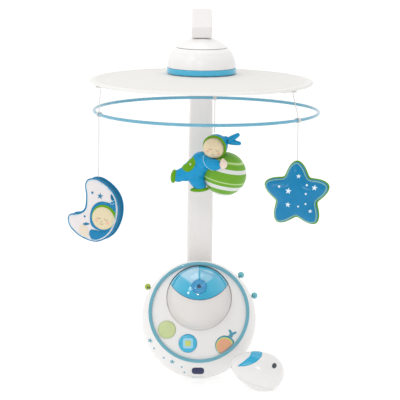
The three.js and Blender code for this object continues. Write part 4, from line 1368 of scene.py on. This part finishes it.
def projector():
    """The tilting ball: shell, clear window, lens, a painted-shade line in the gap at the window's edge, and
    reflector.
    """
    radius = BALL_RADIUS
    lens_tilt = math.radians(20.8)
    lens_axis = (math.sin(lens_tilt) * FACE_UP + math.cos(lens_tilt) * FACE_OUT).normalized()
    on_lens = aim(lens_axis, BALL_CENTRE)

    def skull(name, look, outside, inside, behind=8.0):
        """A hollow ball with its back cut off flat."""
        end = math.acos(-behind / outside)
        arc = [(outside * math.sin(a), outside * math.cos(a)) for a in np.linspace(0, end, 110)]
        hollow = math.acos(-behind / inside)
        arc += [(inside * math.sin(a), inside * math.cos(a)) for a in np.linspace(hollow, 0, 70)]
        return lathe(name, arc, look, aim(FACE_OUT, BALL_CENTRE), 180)

    def bar(change):
        return prism(circle(PARTING[1] + change, 240, (0, PARTING[0])), -60, 80, FACE)

    shell = skull("ball_shell_moulding", "ball_white", radius, radius - 2.4)
    cut(shell, bar(0.15))
    window = skull("ball_window_moulding", "clear_blue", radius, radius - 1.8)
    cut(window, bar(-0.15), operation="INTERSECT")
    cut(window, rod(11.2, 30, 60, on_lens, 80))
    for obj in (shell, window):
        bevel(obj, 0.35, 50)
        shade(obj, 30)
    pins = [lathe("pin", rounded([(0, radius - 2), (3, radius - 2), (3, radius + 6.2), (0, radius + 6.2)],
                                 0.4),
                  "ball_white", aim((side, 0, 0), BALL_CENTRE), 40) for side in (-1, 1)]
    settle(merged("ball_shell_with_pins", [shell, *pins]), "projector_ball_shell")
    settle(window, "projector_window")

    rings = [(0, radius - 1.4), (1.6, radius - 0.8), (2.9, radius - 1.5)]
    core = lathe("lens_core_glass", rings + [(2.9, radius - 4), (0, radius - 4)], "lens_core",
                 aim(lens_axis, BALL_CENTRE), 64, smooth=50)
    profile = [(3.1, 43.2), (11.0, 43.2), (11.0, radius - 1.0)]
    profile += rounded([(11.0, radius - 1.3), (10.2, radius - 0.75), (8.9, radius - 0.6), (8.3, radius - 1.3),
                        (7.5, radius - 0.4), (6.5, radius - 0.1), (5.6, radius - 0.9), (4.4, radius + 0.0),
                        (3.1, radius - 0.6)], 0.7, 4)
    lens = lathe("lens_rings", profile, "lens_blue", aim(lens_axis, BALL_CENTRE), 96, loop=True, smooth=50)
    settle(lens, "projector_lens")
    settle(core, body="projector")

    edge = []
    for k in range(61):  # a fine dark line where the window meets the shell: painted shade in the gap between them
        a = math.radians(180 + 52 * (k / 30 - 1))
        x, y = PARTING[1] * math.sin(a), PARTING[0] + PARTING[1] * math.cos(a)
        inside = (radius + 0.1) ** 2 - x * x - (y - BALL_UP) ** 2
        if inside > (0.2 * radius) ** 2:
            edge.append(FACE @ Vector((x, y, BALL_DEEP + math.sqrt(inside))))
    settle(tube("window_gap_shade", edge, 0.38, "lens_core", sides=8), body="projector")

    # the reflector bowl behind the window
    bowl = skull("reflector_bowl", "pale_blue", radius - 7.5, radius - 8.7, behind=-12.0)
    cut(bowl, rod(12.5, 10, 60, on_lens, 64))
    shade(bowl, 40)
    settle(bowl, body="projector")


housings()
slider_knobs()
face_panel()
buttons()
projector()


# ---------- Padded toys ----------

def swell(obj, pressure, cap, frames=16, wrinkle=0.02):
    """Pumps a closed cloth mesh up a little, with wrinkles; no point moves further than cap millimetres."""
    before = np.array([v.co[:] for v in obj.data.vertices])
    cloth = obj.modifiers.new("cloth", "CLOTH")
    s = cloth.settings
    s.quality, s.mass = 6, 0.12
    s.tension_stiffness = s.compression_stiffness = 18
    s.shear_stiffness, s.bending_stiffness = 8, 0.25
    s.use_pressure, s.uniform_pressure_force = True, pressure
    s.shrink_min = -wrinkle
    s.effector_weights.gravity = 0
    cloth.point_cache.frame_start, cloth.point_cache.frame_end = 1, frames
    for step in range(1, frames + 1):
        scene.frame_set(step)
    shown = obj.evaluated_get(bpy.context.evaluated_depsgraph_get()).to_mesh()
    after = np.array([v.co[:] for v in shown.vertices])
    obj.modifiers.clear()
    move = after - before
    length = np.linalg.norm(move, axis=1, keepdims=True)
    move *= np.minimum(1.0, cap * MM / np.maximum(length, 1e-9))
    move[~np.isfinite(move)] = 0.0
    for v, p in zip(obj.data.vertices, before + move):
        v.co = p
    scene.frame_set(1)


def pillow(name, place, outline, look, half, soft, step=2.2, flat_side=0.0, side_look=None):
    """Two panels sewn at their edge, or joined by a side band, and stuffed to a half depth."""
    points, faces = filled(outline, step)
    flat_outline = [Vector((p[0], p[1])) for p in outline]
    count = len(outline)
    depth = []
    for p in points:
        near = min(1.0, edge_distance(p, flat_outline) / soft)
        depth.append(flat_side + (half - flat_side) * math.sqrt(max(0.0, 1 - (1 - near) ** 2)))
    verts, low, high = [], {}, {}
    for i, p in enumerate(points):
        for side, table in ((-1, low), (1, high)):
            if side == 1 and depth[i] == 0.0:
                high[i] = low[i]
                continue
            table[i] = len(verts)
            verts.append(place @ Vector((p.x, side * depth[i], p.y)))
    quads = [tuple(low[i] for i in f) for f in faces] + [tuple(high[i] for i in reversed(f)) for f in faces]
    sides = []
    if flat_side:
        levels = 5
        previous = [low[i] for i in range(count)]
        for level in range(1, levels + 1):
            t = level / levels
            row = []
            for i in range(count):
                if level == levels:
                    row.append(high[i])
                    continue
                p = points[i]
                bulge = math.sin(math.pi * t)
                a, b = points[i - 1 if i else count - 1], points[(i + 1) % count]
                way = Vector((b.y - a.y, -(b.x - a.x))).normalized()
                row.append(len(verts))
                verts.append(place @ Vector((p.x + bulge * way.x, flat_side * (2 * t - 1),
                                             p.y + bulge * way.y)))
            sides += [(previous[i], row[i], row[(i + 1) % count],
                       previous[(i + 1) % count]) for i in range(count)]
            previous = row
    obj = mesh_object(name, verts, quads + sides, look, 60)
    if side_look:
        obj.data.materials.append(LOOK[side_look])
        inverse = place.inverted()
        for face in obj.data.polygons:
            centre = inverse @ (face.center / MM)
            if abs(centre.y) < flat_side * 0.98:
                face.material_index = 1
    return obj


def soften(obj, levels=1):
    """Subdivides a body into a smoother one."""
    mod = obj.modifiers.new("smooth", "SUBSURF")
    mod.levels = mod.render_levels = levels
    bake(obj)
    shade(obj, 80)


def toy_place(toy, turn=0.0):
    top = joint_point(f"{toy}_twist")
    return Matrix.Translation(top) @ Matrix.Rotation(math.radians(turn), 4, "Z")


def even(outline, count):
    """The outline again, with points the same distance apart."""
    pts = np.array([(p[0], p[1]) for p in outline] + [(outline[0][0], outline[0][1])])
    along = np.concatenate([[0], np.cumsum(np.linalg.norm(np.diff(pts, axis=0), axis=1))])
    at = np.linspace(0, along[-1], count, endpoint=False)
    return [(float(np.interp(t, along, pts[:, 0])), float(np.interp(t, along, pts[:, 1]))) for t in at]


MOON_OUTLINE = [(-12, -1.5), (1, 0), (16, -7.5), (28, -20), (33.5, -36.5), (31, -57), (20, -76), (1, -86),
                (-21, -81.5), (-37, -70), (-42, -58), (-38.5, -50.5), (-26, -47.5), (-17, -41), (-15, -25),
                (-16.5, -10)]


def moon():
    """The moon pillow: piping, a sleeping figure with hood and collar, prints and a border cord."""
    place = toy_place("moon", -22)
    outline = even(spline(MOON_OUTLINE, 240), 120)
    body = pillow("moon_body", place, shrunk(outline, 1.6), "moon_white", half=13.0, soft=17.0, flat_side=7.5,
                  side_look="satin_deep")
    swell(body, 2.5, 1.2)
    soften(body)
    settle(body, "moon_toy")
    view = Surface(place, body)

    def add(obj, slot):
        return settle(obj, body="moon")

    for sign in (-1, 1):  # piping where each panel meets the side band
        line = [place @ Vector((p[0], sign * 7.7, p[1])) for p in shrunk(outline, 1.4)]
        add(tube(f"moon_piping_{'front' if sign < 0 else 'back'}", line, 1.2, "satin_blue", loop=True),
            "blue_satin")
    border = shrunk(outline, 3.2)

    def inside(points, count=90):
        """A smooth outline that stays on the front panel."""
        shape = []
        for spot in spline(points, count):
            if not within(spot, border):
                spot = min(border, key=lambda q: (q - spot).length)
            if not shape or (spot - shape[-1]).length > 0.15:
                shape.append(spot)
        return [tuple(p) for p in shape]

    # the sleeping head: a hood, its green rim and the face
    hood_outline = [(-5.2, -60), (-6.0, -50), (-3.8, -40.5), (2.2, -33.2), (10.9, -29.6), (20.2, -30.8),
                    (27, -32.4),
                    (33, -31), (35, -45), (33, -58), (25, -67), (12, -70), (0, -66)]
    hood = patch("moon_hood", view, inside(hood_outline), "satin_blue", lift=0.1, step=1.8, puffed=1.6)
    add(hood, "blue_satin")
    centre = Vector((13.6, -51.8))
    view = Surface(place, body, hood)
    rim = patch("moon_hood_rim", view, inside([(centre.x + 0.5 + 16.6 * math.cos(a),
                                                centre.y + 1.6 + 16.6 * math.sin(a))
                                               for a in turns(24)]),
                "satin_green", lift=0.05, step=1.8, puffed=1.1)
    add(rim, "striped_cotton")
    view = Surface(place, body, hood, rim)
    face = patch("moon_face", view, circle(15.2, 72, centre), "moon_skin_dull_and_shaded", lift=0.05, step=1.8, puffed=2.2)
    add(face, "moon_cotton")
    face_lines("moon", Surface(place, face), (centre.x + 0.5, centre.y - 1.0), 14.6, -10, add)
    collar_outline = [(-7.2, -72), (-4.4, -68.6), (2, -68.6), (8, -69.8), (14, -70), (19.5, -68.6), (25, -65),
                      (31, -58), (28, -68), (21.3, -77), (7.4, -84), (-4.2, -82.2), (-7.4, -77)]
    collar = patch("moon_collar", Surface(place, body, hood, rim, face), inside(collar_outline), "satin_blue",
                   lift=0.1, step=1.8, puffed=1.0)
    add(collar, "blue_satin")
    hand_outline = [(-22, -66), (-16, -62.5), (-10.5, -65), (-8.8, -71), (-9.5, -78), (-16, -80), (-22, -76)]
    add(patch("moon_hand", Surface(place, body), inside(hand_outline, 50), "moon_hand", lift=0.05, step=1.8,
              puffed=0.7), "moon_cotton")
    # the hood's long tip lies on the panel, with its knot
    tip_outline = [(25.2, -17.0), (28.2, -20.5), (28.8, -25.0), (27.0, -28.6), (23.6, -26.0), (22.8, -20.6)]
    add(patch("moon_hood_tip", Surface(place, body), inside(tip_outline, 40), "satin_deep", lift=0.1,
              step=1.2,
              puffed=1.2), "blue_satin")
    knot = Surface(place, body, hood, bpy.data.objects["moon_hood_tip"])
    for k, (x, z, size) in enumerate(((28.2, -29.6, 2.6), (25.0, -31.0, 1.9))):
        add(patch(f"moon_hood_knot_{k}", knot, inside(circle(size, 24, (x, z)), 40), "satin_blue", lift=0.1,
                  step=0.9,
                  puffed=1.4), "blue_satin")
        ring = circle(size, 16, (x, z))
        add(stroke(f"moon_knot_cord_{k}", knot, ring, 0.3, "thread", lift=0.5, count=36, loop=True), "cord")
    # a fine cord follows the border over everything
    over = Surface(place, body, hood, rim, face, collar)
    line = [over.at(p.x, p.y, 0.25) for p in shrunk(outline, 3.4)]
    add(tube("moon_border_cord", [p for p in line if p], 0.36, "thread", sides=8, loop=True), "cord")
    view = Surface(place, body)
    for k, (x, z, size) in enumerate(((8.5, -22.6, 4.6), (-2.9, -18.7, 1.8), (-14.3, -51.6, 1.5))):
        shape = star_outline(size, 0.42, 8) if size > 2 else circle(size, 16)
        add(patch(f"moon_print_{k}", view, shape, "blue_print", lift=0.06, step=0.9, shift=(x, z)),
            "blue_satin")
    crescent = [(-16.5, -61.8), (-12, -59.4), (-6.5, -60.8), (-9.5, -62.6), (-13, -63.4)]
    add(patch("moon_print_crescent", Surface(place, body, bpy.data.objects["moon_hand"]),
              spline(crescent, 40), "blue_print", lift=0.06, step=0.9),
        "blue_satin")


def face_lines(toy, view, centre, size, tilt, add):
    """Closed eyes, a small nose and a smile, sewn in brown thread."""
    c, s = math.cos(math.radians(tilt)), math.sin(math.radians(tilt))

    def at(x, y):
        return (centre[0] + size * (x * c - y * s), centre[1] + size * (x * s + y * c))

    lines = {
        "eye_left": [at(-0.52, 0.10), at(-0.40, 0.00), at(-0.26, 0.03), at(-0.16, 0.13)],
        "eye_right": [at(0.16, 0.13), at(0.26, 0.03), at(0.40, 0.00), at(0.52, 0.10)],
        "smile": [at(-0.17, -0.38), at(0.0, -0.46), at(0.17, -0.38)],
        "nose": [at(-0.05, -0.15), at(0.0, -0.19), at(0.05, -0.15)],
    }
    parts = [stroke(f"{toy}_{name}", view, points, 0.24, "thread_brown", lift=0.08, count=14)
             for name, points in lines.items()]
    add(merged(f"{toy}_face_lines", parts), "dark_plastic")
    cheeks = [patch("cheek", view, circle(0.13 * size, 24, at(side * 0.55, -0.22)), "blush", lift=0.05,
                    step=0.8)
              for side in (-1, 1)]
    add(merged(f"{toy}_cheeks", cheeks), "moon_cotton")


def star():
    """The star pillow, with its piping, its edge cords and its prints."""
    place = toy_place("star", -14)
    tip, valley = 45.0, 28.0
    outline = []
    for i in range(200):
        phase = abs(((360 * i / 200) % 72) / 36 - 1)  # 1 at a tip, 0 at a valley
        lobe = 0.45 * math.sin(math.pi / 2 * phase) ** 2 + 0.55 * phase ** 1.55 * (1.19 - 0.19 * phase ** 4)
        radius = valley + (tip - valley) * lobe
        a = math.radians(360 * i / 200)
        outline.append((radius * math.sin(a), radius * math.cos(a) - 46.2))
    outline = even(smooth_loop(outline, 5), 130)
    body = pillow("star_body", place, outline, "satin_blue", half=13.5, soft=21.0, flat_side=1.6,
                  side_look="satin_green")
    swell(body, 2.5, 1.4)
    soften(body)
    settle(body, "star_toy")

    def add(obj, slot):
        return settle(obj, body="star")

    line = [place @ Vector((p[0], 0, p[1])) for p in outline]
    add(tube("star_piping", line, 1.5, "satin_green", sides=12, loop=True), "striped_cotton")
    view = Surface(place, body)
    seam = [view.at(p[0], p[1], 0.1) for p in shrunk(outline, 1.7)]
    add(tube("star_edge_cord", [p for p in seam if p], 0.5, "light_edge", sides=8, loop=True), "cord")
    for k, (x, z, size) in enumerate(((-8.4, -39.6, 4.4), (26.0, -34.2, 4.0), (-8.8, -57.8, 3.8),
                                      (4.4, -19.8, 3.2),
                                      (20.6, -65.6, 2.8), (-21.4, -34.6, 1.5), (15.6, -31.2, 1.4),
                                      (15.0, -42.4, 1.3), (14.6, -56.0, 1.2), (5.0, -59.6, 1.2))):
        shape = star_outline(size, 0.42, 6) if size > 2 else circle(size, 18)
        add(patch(f"star_print_{k}", view, shape, "white_print", lift=0.07, step=0.9, shift=(x, z)),
            "moon_cotton")
    back = Surface(place @ Matrix.Rotation(math.pi, 4, "Z"), body)
    seam = [back.at(-p[0], p[1], 0.1) for p in shrunk(outline, 1.7)]
    add(tube("star_edge_cord_back", [p for p in seam if p], 0.5, "light_edge", sides=8, loop=True), "cord")


def smooth_loop(points, rounds):
    """A closed outline, smoothed that many times."""
    for _ in range(rounds):
        points = [tuple((a[k] + 2 * b[k] + c[k]) / 4 for k in (0, 1))
                  for a, b, c in zip(points[-1:] + points[:-1], points, points[1:] + points[:1])]
    return points


def ellipsoid(name, centre, radii, look, place, turn=0.0, sides=48, rings=24):
    """A ball with three radii, turned about Y."""
    profile = [(math.sin(math.pi * k / rings), math.cos(math.pi * k / rings)) for k in range(rings + 1)]
    profile[0], profile[-1] = (0, 1), (0, -1)
    shape = (place @ Matrix.Translation(centre) @ Matrix.Rotation(math.radians(turn), 4, "Y")
             @ Matrix.Diagonal((*radii, 1.0)))
    return lathe(name, profile, look, shape, sides, smooth=80)


def blob(name, pieces, look, voxel=1.3, rounds=6):
    """Lumps melted into one soft closed body."""
    obj = merged(name, pieces)
    obj.data.materials.clear()
    mod = obj.modifiers.new("melt", "REMESH")
    mod.mode, mod.voxel_size = "VOXEL", voxel * MM
    bake(obj)
    with editing(obj.data) as bm:
        for _ in range(rounds):
            bmesh.ops.smooth_vert(bm, verts=bm.verts, factor=0.5, use_axis_x=True, use_axis_y=True,
                                  use_axis_z=True)
    obj.data.materials.append(LOOK[look])
    shade(obj, 80)
    return obj


def doll():
    """The doll on its striped ball."""
    place = toy_place("doll")

    def add(obj, slot="blue_satin"):
        return settle(obj, body="doll")

    centre, radius = BALL_TOY
    ball = ellipsoid("ball_body", centre, (radius, radius, radius), "ball_cloth", place, sides=72, rings=40)
    for v in ball.data.vertices:  # stuffed cloth is never quite round
        p = place.inverted() @ (v.co / MM) - centre
        ridge = 1 + 0.012 * noise.noise(p * 0.09) + 0.004 * noise.noise(p * 0.35)
        v.co = (place @ (centre + p * min(ridge, 1.005))) * MM
    settle(ball, "striped_ball")

    lumps = [("chest", (-15, -4, -41), (18, 13, 14), 22), ("belly", (-24, -3, -49), (16, 13, 14), 20),
             ("hips", (-32, -2, -54), (14, 12, 13), 10), ("thigh", (-42, -3, -59), (12, 9, 9.5), 12),
             ("shin", (-50, -3, -61), (9, 8, 9), 0), ("knee", (-24, -6, -66), (11, 9, 10), -30),
             ("calf", (-20, -6, -74), (9, 8.5, 8), 0), ("shoulder", (-13, -13, -40), (11, 8, 9), 0),
             ("forearm", (-1, -19.5, -42.5), (12.5, 7.5, 8.2), 10), ("neck", (-3, -5, -30), (10, 9, 8), 0)]
    body = blob("doll_body", [ellipsoid(n, c, r, "satin_doll", place, t, 32, 16) for n, c, r, t in lumps],
                "satin_doll")
    swell(body, 1.5, 0.8, frames=12)
    soften(body)
    settle(body, "doll_toy")

    head = Vector((0.7, -6.0, -18.6))
    hood = blob("doll_hood", [
        ellipsoid("back", head + Vector((1.6, 2.5, 1.2)), (16.9, 14.5, 16.6), "satin_doll", place, 0, 40, 20),
        ellipsoid("tail", head + Vector((13, 3, 8.5)), (8, 5.5, 6), "satin_doll", place, -30, 24, 14)],
        "satin_doll", voxel=1.2, rounds=4)
    add(hood)
    skull = ellipsoid("doll_face", head + Vector((-1.4, -4.4, -1.4)), (15.4, 13.6, 15.2), "skin", place, 0,
                      64, 36)
    add(skull, "moon_cotton")
    # the hood's rim lies behind the face, tilted back so that it shows above and on the right
    gaze = Vector((-0.35, -0.9, -0.2)).normalized()
    side = gaze.cross(Vector((0, 0, 1))).normalized()
    above = side.cross(gaze)
    ring = [place @ (head + Vector((-0.6, -5.4, 0.0)) + 16.0 * (math.cos(a) * side + math.sin(a) * above))
            for a in turns(80)]
    add(tube("doll_hood_rim", ring, 1.7, "satin_green", sides=12, loop=True), "striped_cotton")
    for k, (path, thick) in enumerate((
            ([(13.5, -3.5, -10.0), (20, -4.5, -9), (28, -5.5, -4.5), (35, -6.5, 0.0)], 3.6),
            ([(13.5, -3.5, -10.5), (21, -4.0, -11.5), (29.5, -5.0, -12.8), (37.5, -6.0, -14.0)], 3.4))):
        line = spline(path, 26, loop=False)
        radii = [thick * (0.55 + 0.75 * math.sin(math.pi * (0.12 + 0.80 * i / 25))) * (1 - 0.15 * i / 25)
                 for i in range(26)]
        radii[-1] = 0.5
        tip = tube(f"doll_hood_tip_{k}", [place @ p for p in line], thick, "satin_doll", sides=16,
                   radii=radii)
        soften(tip)
        add(tip)
    knot_ring = [place @ (Vector((18.2, -4.2, -10.2)) + Vector((0.9 * math.sin(a), 3.2 * math.cos(a),
                                                                3.6 * math.sin(a))))
                 for a in turns(30)]
    add(tube("doll_hood_knot", knot_ring, 1.3, "satin_deep", sides=10, loop=True))
    face_lines("doll", Surface(place, skull), (head.x - 2.0, head.z - 3.0), 14.2, -12, add)
    hand = blob("doll_hand", [
        ellipsoid("palm", (12.8, -24.3, -41.0), (5.6, 4.6, 6.8), "pink", place, 0, 24, 14),
        ellipsoid("thumb", (11.6, -23.6, -35.6), (2.6, 2.8, 3.4), "pink", place, 20, 20, 12)], "pink", 0.9, 3)
    add(hand, "moon_cotton")
    view = Surface(place, body)
    hip = [(-34, -28.5), (-28.5, -34), (-26.5, -42), (-31, -50), (-38, -54), (-45.5, -49), (-45.5, -40),
           (-40, -32)]
    add(patch("doll_hip_patch", view, spline(hip, 60), "satin_green",
              lift=0.08, step=1.6, puffed=0.5), "striped_cotton")
    add(patch("doll_hip_star", Surface(place, body, bpy.data.objects["doll_hip_patch"]),
              star_outline(1.8, 0.4),
              "white_print", lift=0.08, step=0.8, shift=(-33.6, -43.0)), "moon_cotton")
    for k, (spot, radii, turn) in enumerate((((-57.0, -3.6, -61.6), (4.4, 7.6, 9.8), 8),
                                             ((-20.5, -6.6, -79.6), (13.4, 7.8, 3.6), -4))):
        sole = ellipsoid(f"doll_sole_{k}", spot, radii, "satin_green", place, turn, 40, 24)
        add(sole, "striped_cotton")
    sleeve = [(-14.5, -29.5), (-15.5, -36), (-12, -43.5), (-4, -49.5), (5, -51.0)]
    cuff = [(9.4, -36.2), (10.6, -41), (9.2, -46.2)]
    parts = [stroke("sleeve", view, sleeve, 0.35, "thread", lift=0.1, count=30),
             stroke("cuff", view, cuff, 0.5, "thread", lift=0.1, count=12)]
    add(merged("doll_sleeve_seam", parts), "cord")


moon()
star()
doll()


# ---------- Remote control ----------

def remote():
    """The egg-shaped remote: two shells, a leaf button, the infrared tip and an indicator."""
    egg_x, egg_y, egg_z = 84.0, -124.5, -58.3
    half, girth, taper, tilt = 39.0, 27.4, 0.2, math.radians(18)
    floor = corners("remote_base_shell")[0].z
    place = Matrix.Translation((egg_x, egg_y, egg_z)) @ Matrix.Rotation(tilt, 4, "Y")

    def egg(name, look, inset, low=-99.0, high=99.0):
        """The egg between two heights across its own lower side."""
        rings, spans = [], 96
        for k in range(spans + 1):
            u = -math.cos(math.pi * k / spans)
            reach = (girth - inset) * (1 + taper * u) * math.sqrt(max(0.0, 1 - u * u))
            rings.append([place @ Vector((u * (half - inset), reach * math.sin(a), reach * math.cos(a)))
                          for a in turns(128)])
        obj = skin(name, rings, look, caps=False, smooth=60)
        with editing(obj.data) as bm:
            for level, side in ((low, True), (high, False)):
                bmesh.ops.bisect_plane(bm, geom=bm.verts[:] + bm.edges[:] + bm.faces[:],
                                       plane_co=place @ Vector((0, 0, level)) * MM,
                                       plane_no=place.to_3x3() @ Vector((0, 0, 1)), clear_inner=side,
                                       clear_outer=not side)
            for v in bm.verts:  # the underside is flat where it rests
                v.co.z = max(v.co.z, floor * MM)
            bmesh.ops.recalc_face_normals(bm, faces=bm.faces)
        return obj

    def copied(obj, name):
        twin = obj.copy()
        twin.data = obj.data.copy()
        twin.name = name
        scene.collection.objects.link(twin)
        return twin

    top = egg("remote_top_moulding", "housing", 0.0, low=-16.8)
    base = egg("remote_base_moulding", "housing", 0.0, high=-17.2)
    for obj in (top, base):
        thicken(obj, 1.8)
    leaf = [(-17.2, -8.6), (-12.4, -7.6), (-7.1, -5.1), (-2.3, -0.7), (0.1, 4.3), (1.5, 11.6), (4.4, 16.4),
            (9, 18),
            (14, 15), (16.4, 8.1), (14.5, -1.9), (8.3, -9.4), (0.6, -12.5), (-7.1, -12.7), (-13.8, -10.7),
            (-17, -9.4)]
    outline = spline(leaf, 90)
    on_top = aim((0, -0.5, 0.866), (74, egg_y, egg_z))
    on_tip = aim(place.to_3x3() @ Vector((-1, 0, -0.24)), (egg_x, egg_y, egg_z))
    whole = copied(top, "whole_shell")
    cut(top, prism(shrunk(outline, -0.3), 8, 60, on_top), prism(circle(4.2, 64), 30, 60, on_tip))
    for obj in (top, base):
        bevel(obj, 0.3, 45)
        shade(obj, 35)
    settle(top, "remote_top_shell")
    settle(base, "remote_base_shell")

    def plug(name, outline, low, high, where, look, node, rise):
        """The piece of the shell inside an outline, raised a little."""
        piece = copied(whole, name)
        cut(piece, prism(outline, low, high, where), operation="INTERSECT")
        bevel(piece, 0.5, 45)
        shift = (where.to_3x3() @ Vector((0, 0, rise))) * MM
        for v in piece.data.vertices:
            v.co += shift
        piece.data.materials.clear()
        piece.data.materials.append(LOOK[look])
        shade(piece, 35)
        settle(piece, node)

    plug("remote_leaf_button", outline, 8, 60, on_top, "leaf_blue", "remote_button", 0.25)
    plug("remote_infrared_tip", circle(4.0, 64), 30, 60, on_tip, "dark", "remote_ir_window", 0.0)
    bpy.data.objects.remove(whole)
    view = Surface(Matrix(), top)
    dot = patch("remote_indicator", view, circle(3.3, 36), "dark", lift=0.02, thick=0.25, step=1.0,
                shift=(107.6, -47.6))
    settle(dot, body="remote")


remote()


# ---------- CAD nodes that keep their own shape ----------

KEPT = {"ball_bearing_left": "white", "ball_bearing_right": "white", "circuit_board": "board",
        "speaker": "dark",
        "battery_cell_1": "steel", "battery_cell_2": "steel", "battery_cell_3": "steel", "head_motor": "dark",
        "motor_pinion": "steel", "drive_gear": "white", "projector_lamp": "dark", "remote_board": "board"}
for name, look in KEPT.items():
    node = frame["nodes"][name]
    if not node.material_slots:
        node.data.materials.append(None)
    for slot in node.material_slots:
        slot.material = LOOK[look]


# ---------- Floor and light ----------

def stage():
    """A pale floor, a white world and four lamps."""
    size = 30.0
    mesh = bpy.data.meshes.new("floor")
    z = cad_bounds[0][2] - 0.0005
    mesh.from_pydata([(-size, -size, z), (size, -size, z), (size, size, z), (-size, size, z)], [],
                     [(0, 1, 2, 3)])
    floor = bpy.data.objects.new("floor", mesh)
    scene.collection.objects.link(floor)
    m = Nodes("floor_pale")
    m.color(m.vary((0.62, 0.62, 0.615), 0.5, 0.004))
    m.set(Roughness=1.0, Specular_IOR_Level=0.0, Emission_Color=(1, 1, 1, 1), Emission_Strength=0.5)
    mesh.materials.append(m.material)
    world = bpy.data.worlds.new("soft_white")
    scene.world = world
    world.use_nodes = True
    tree = world.node_tree
    # white behind and above the object, and a little darker in front of it
    place = tree.nodes.new("ShaderNodeTexCoord").outputs["Generated"]
    split = tree.nodes.new("ShaderNodeSeparateXYZ")
    tree.links.new(place, split.inputs[0])
    ramp = tree.nodes.new("ShaderNodeMapRange")
    for socket, value in (("From Min", -0.9), ("From Max", 0.1), ("To Min", 0.66), ("To Max", 1.0)):
        ramp.inputs[socket].default_value = value
    tree.links.new(split.outputs["Y"], ramp.inputs["Value"])
    tree.links.new(ramp.outputs[0], tree.nodes["Background"].inputs["Strength"])
    tree.nodes["Background"].inputs["Color"].default_value = (1.0, 1.0, 1.0, 1.0)
    for name, place, power, size, color in (
            ("key", (-1.5, -1.9, 2.2), 6.0, 0.7, (1.0, 0.99, 0.97)),
            ("top", (-0.2, 0.1, 2.6), 8.0, 1.4, (1.0, 1.0, 1.0)),
            ("glint", (-1.3, -1.5, 1.0), 2.0, 0.22, (1.0, 1.0, 1.0)),
            ("spark", (-0.25, -2.6, 1.3), 6.0, 0.1, (1.0, 1.0, 1.0))):
        data = bpy.data.lights.new(name, "AREA")
        data.energy, data.size, data.color = power, size, color
        lamp = bpy.data.objects.new(name, data)
        lamp.location = place
        aim_at = Vector((0, -0.15, 0.15)) - Vector(place)
        lamp.rotation_euler = aim_at.to_track_quat("-Z", "Y").to_euler()
        scene.collection.objects.link(lamp)


stage()
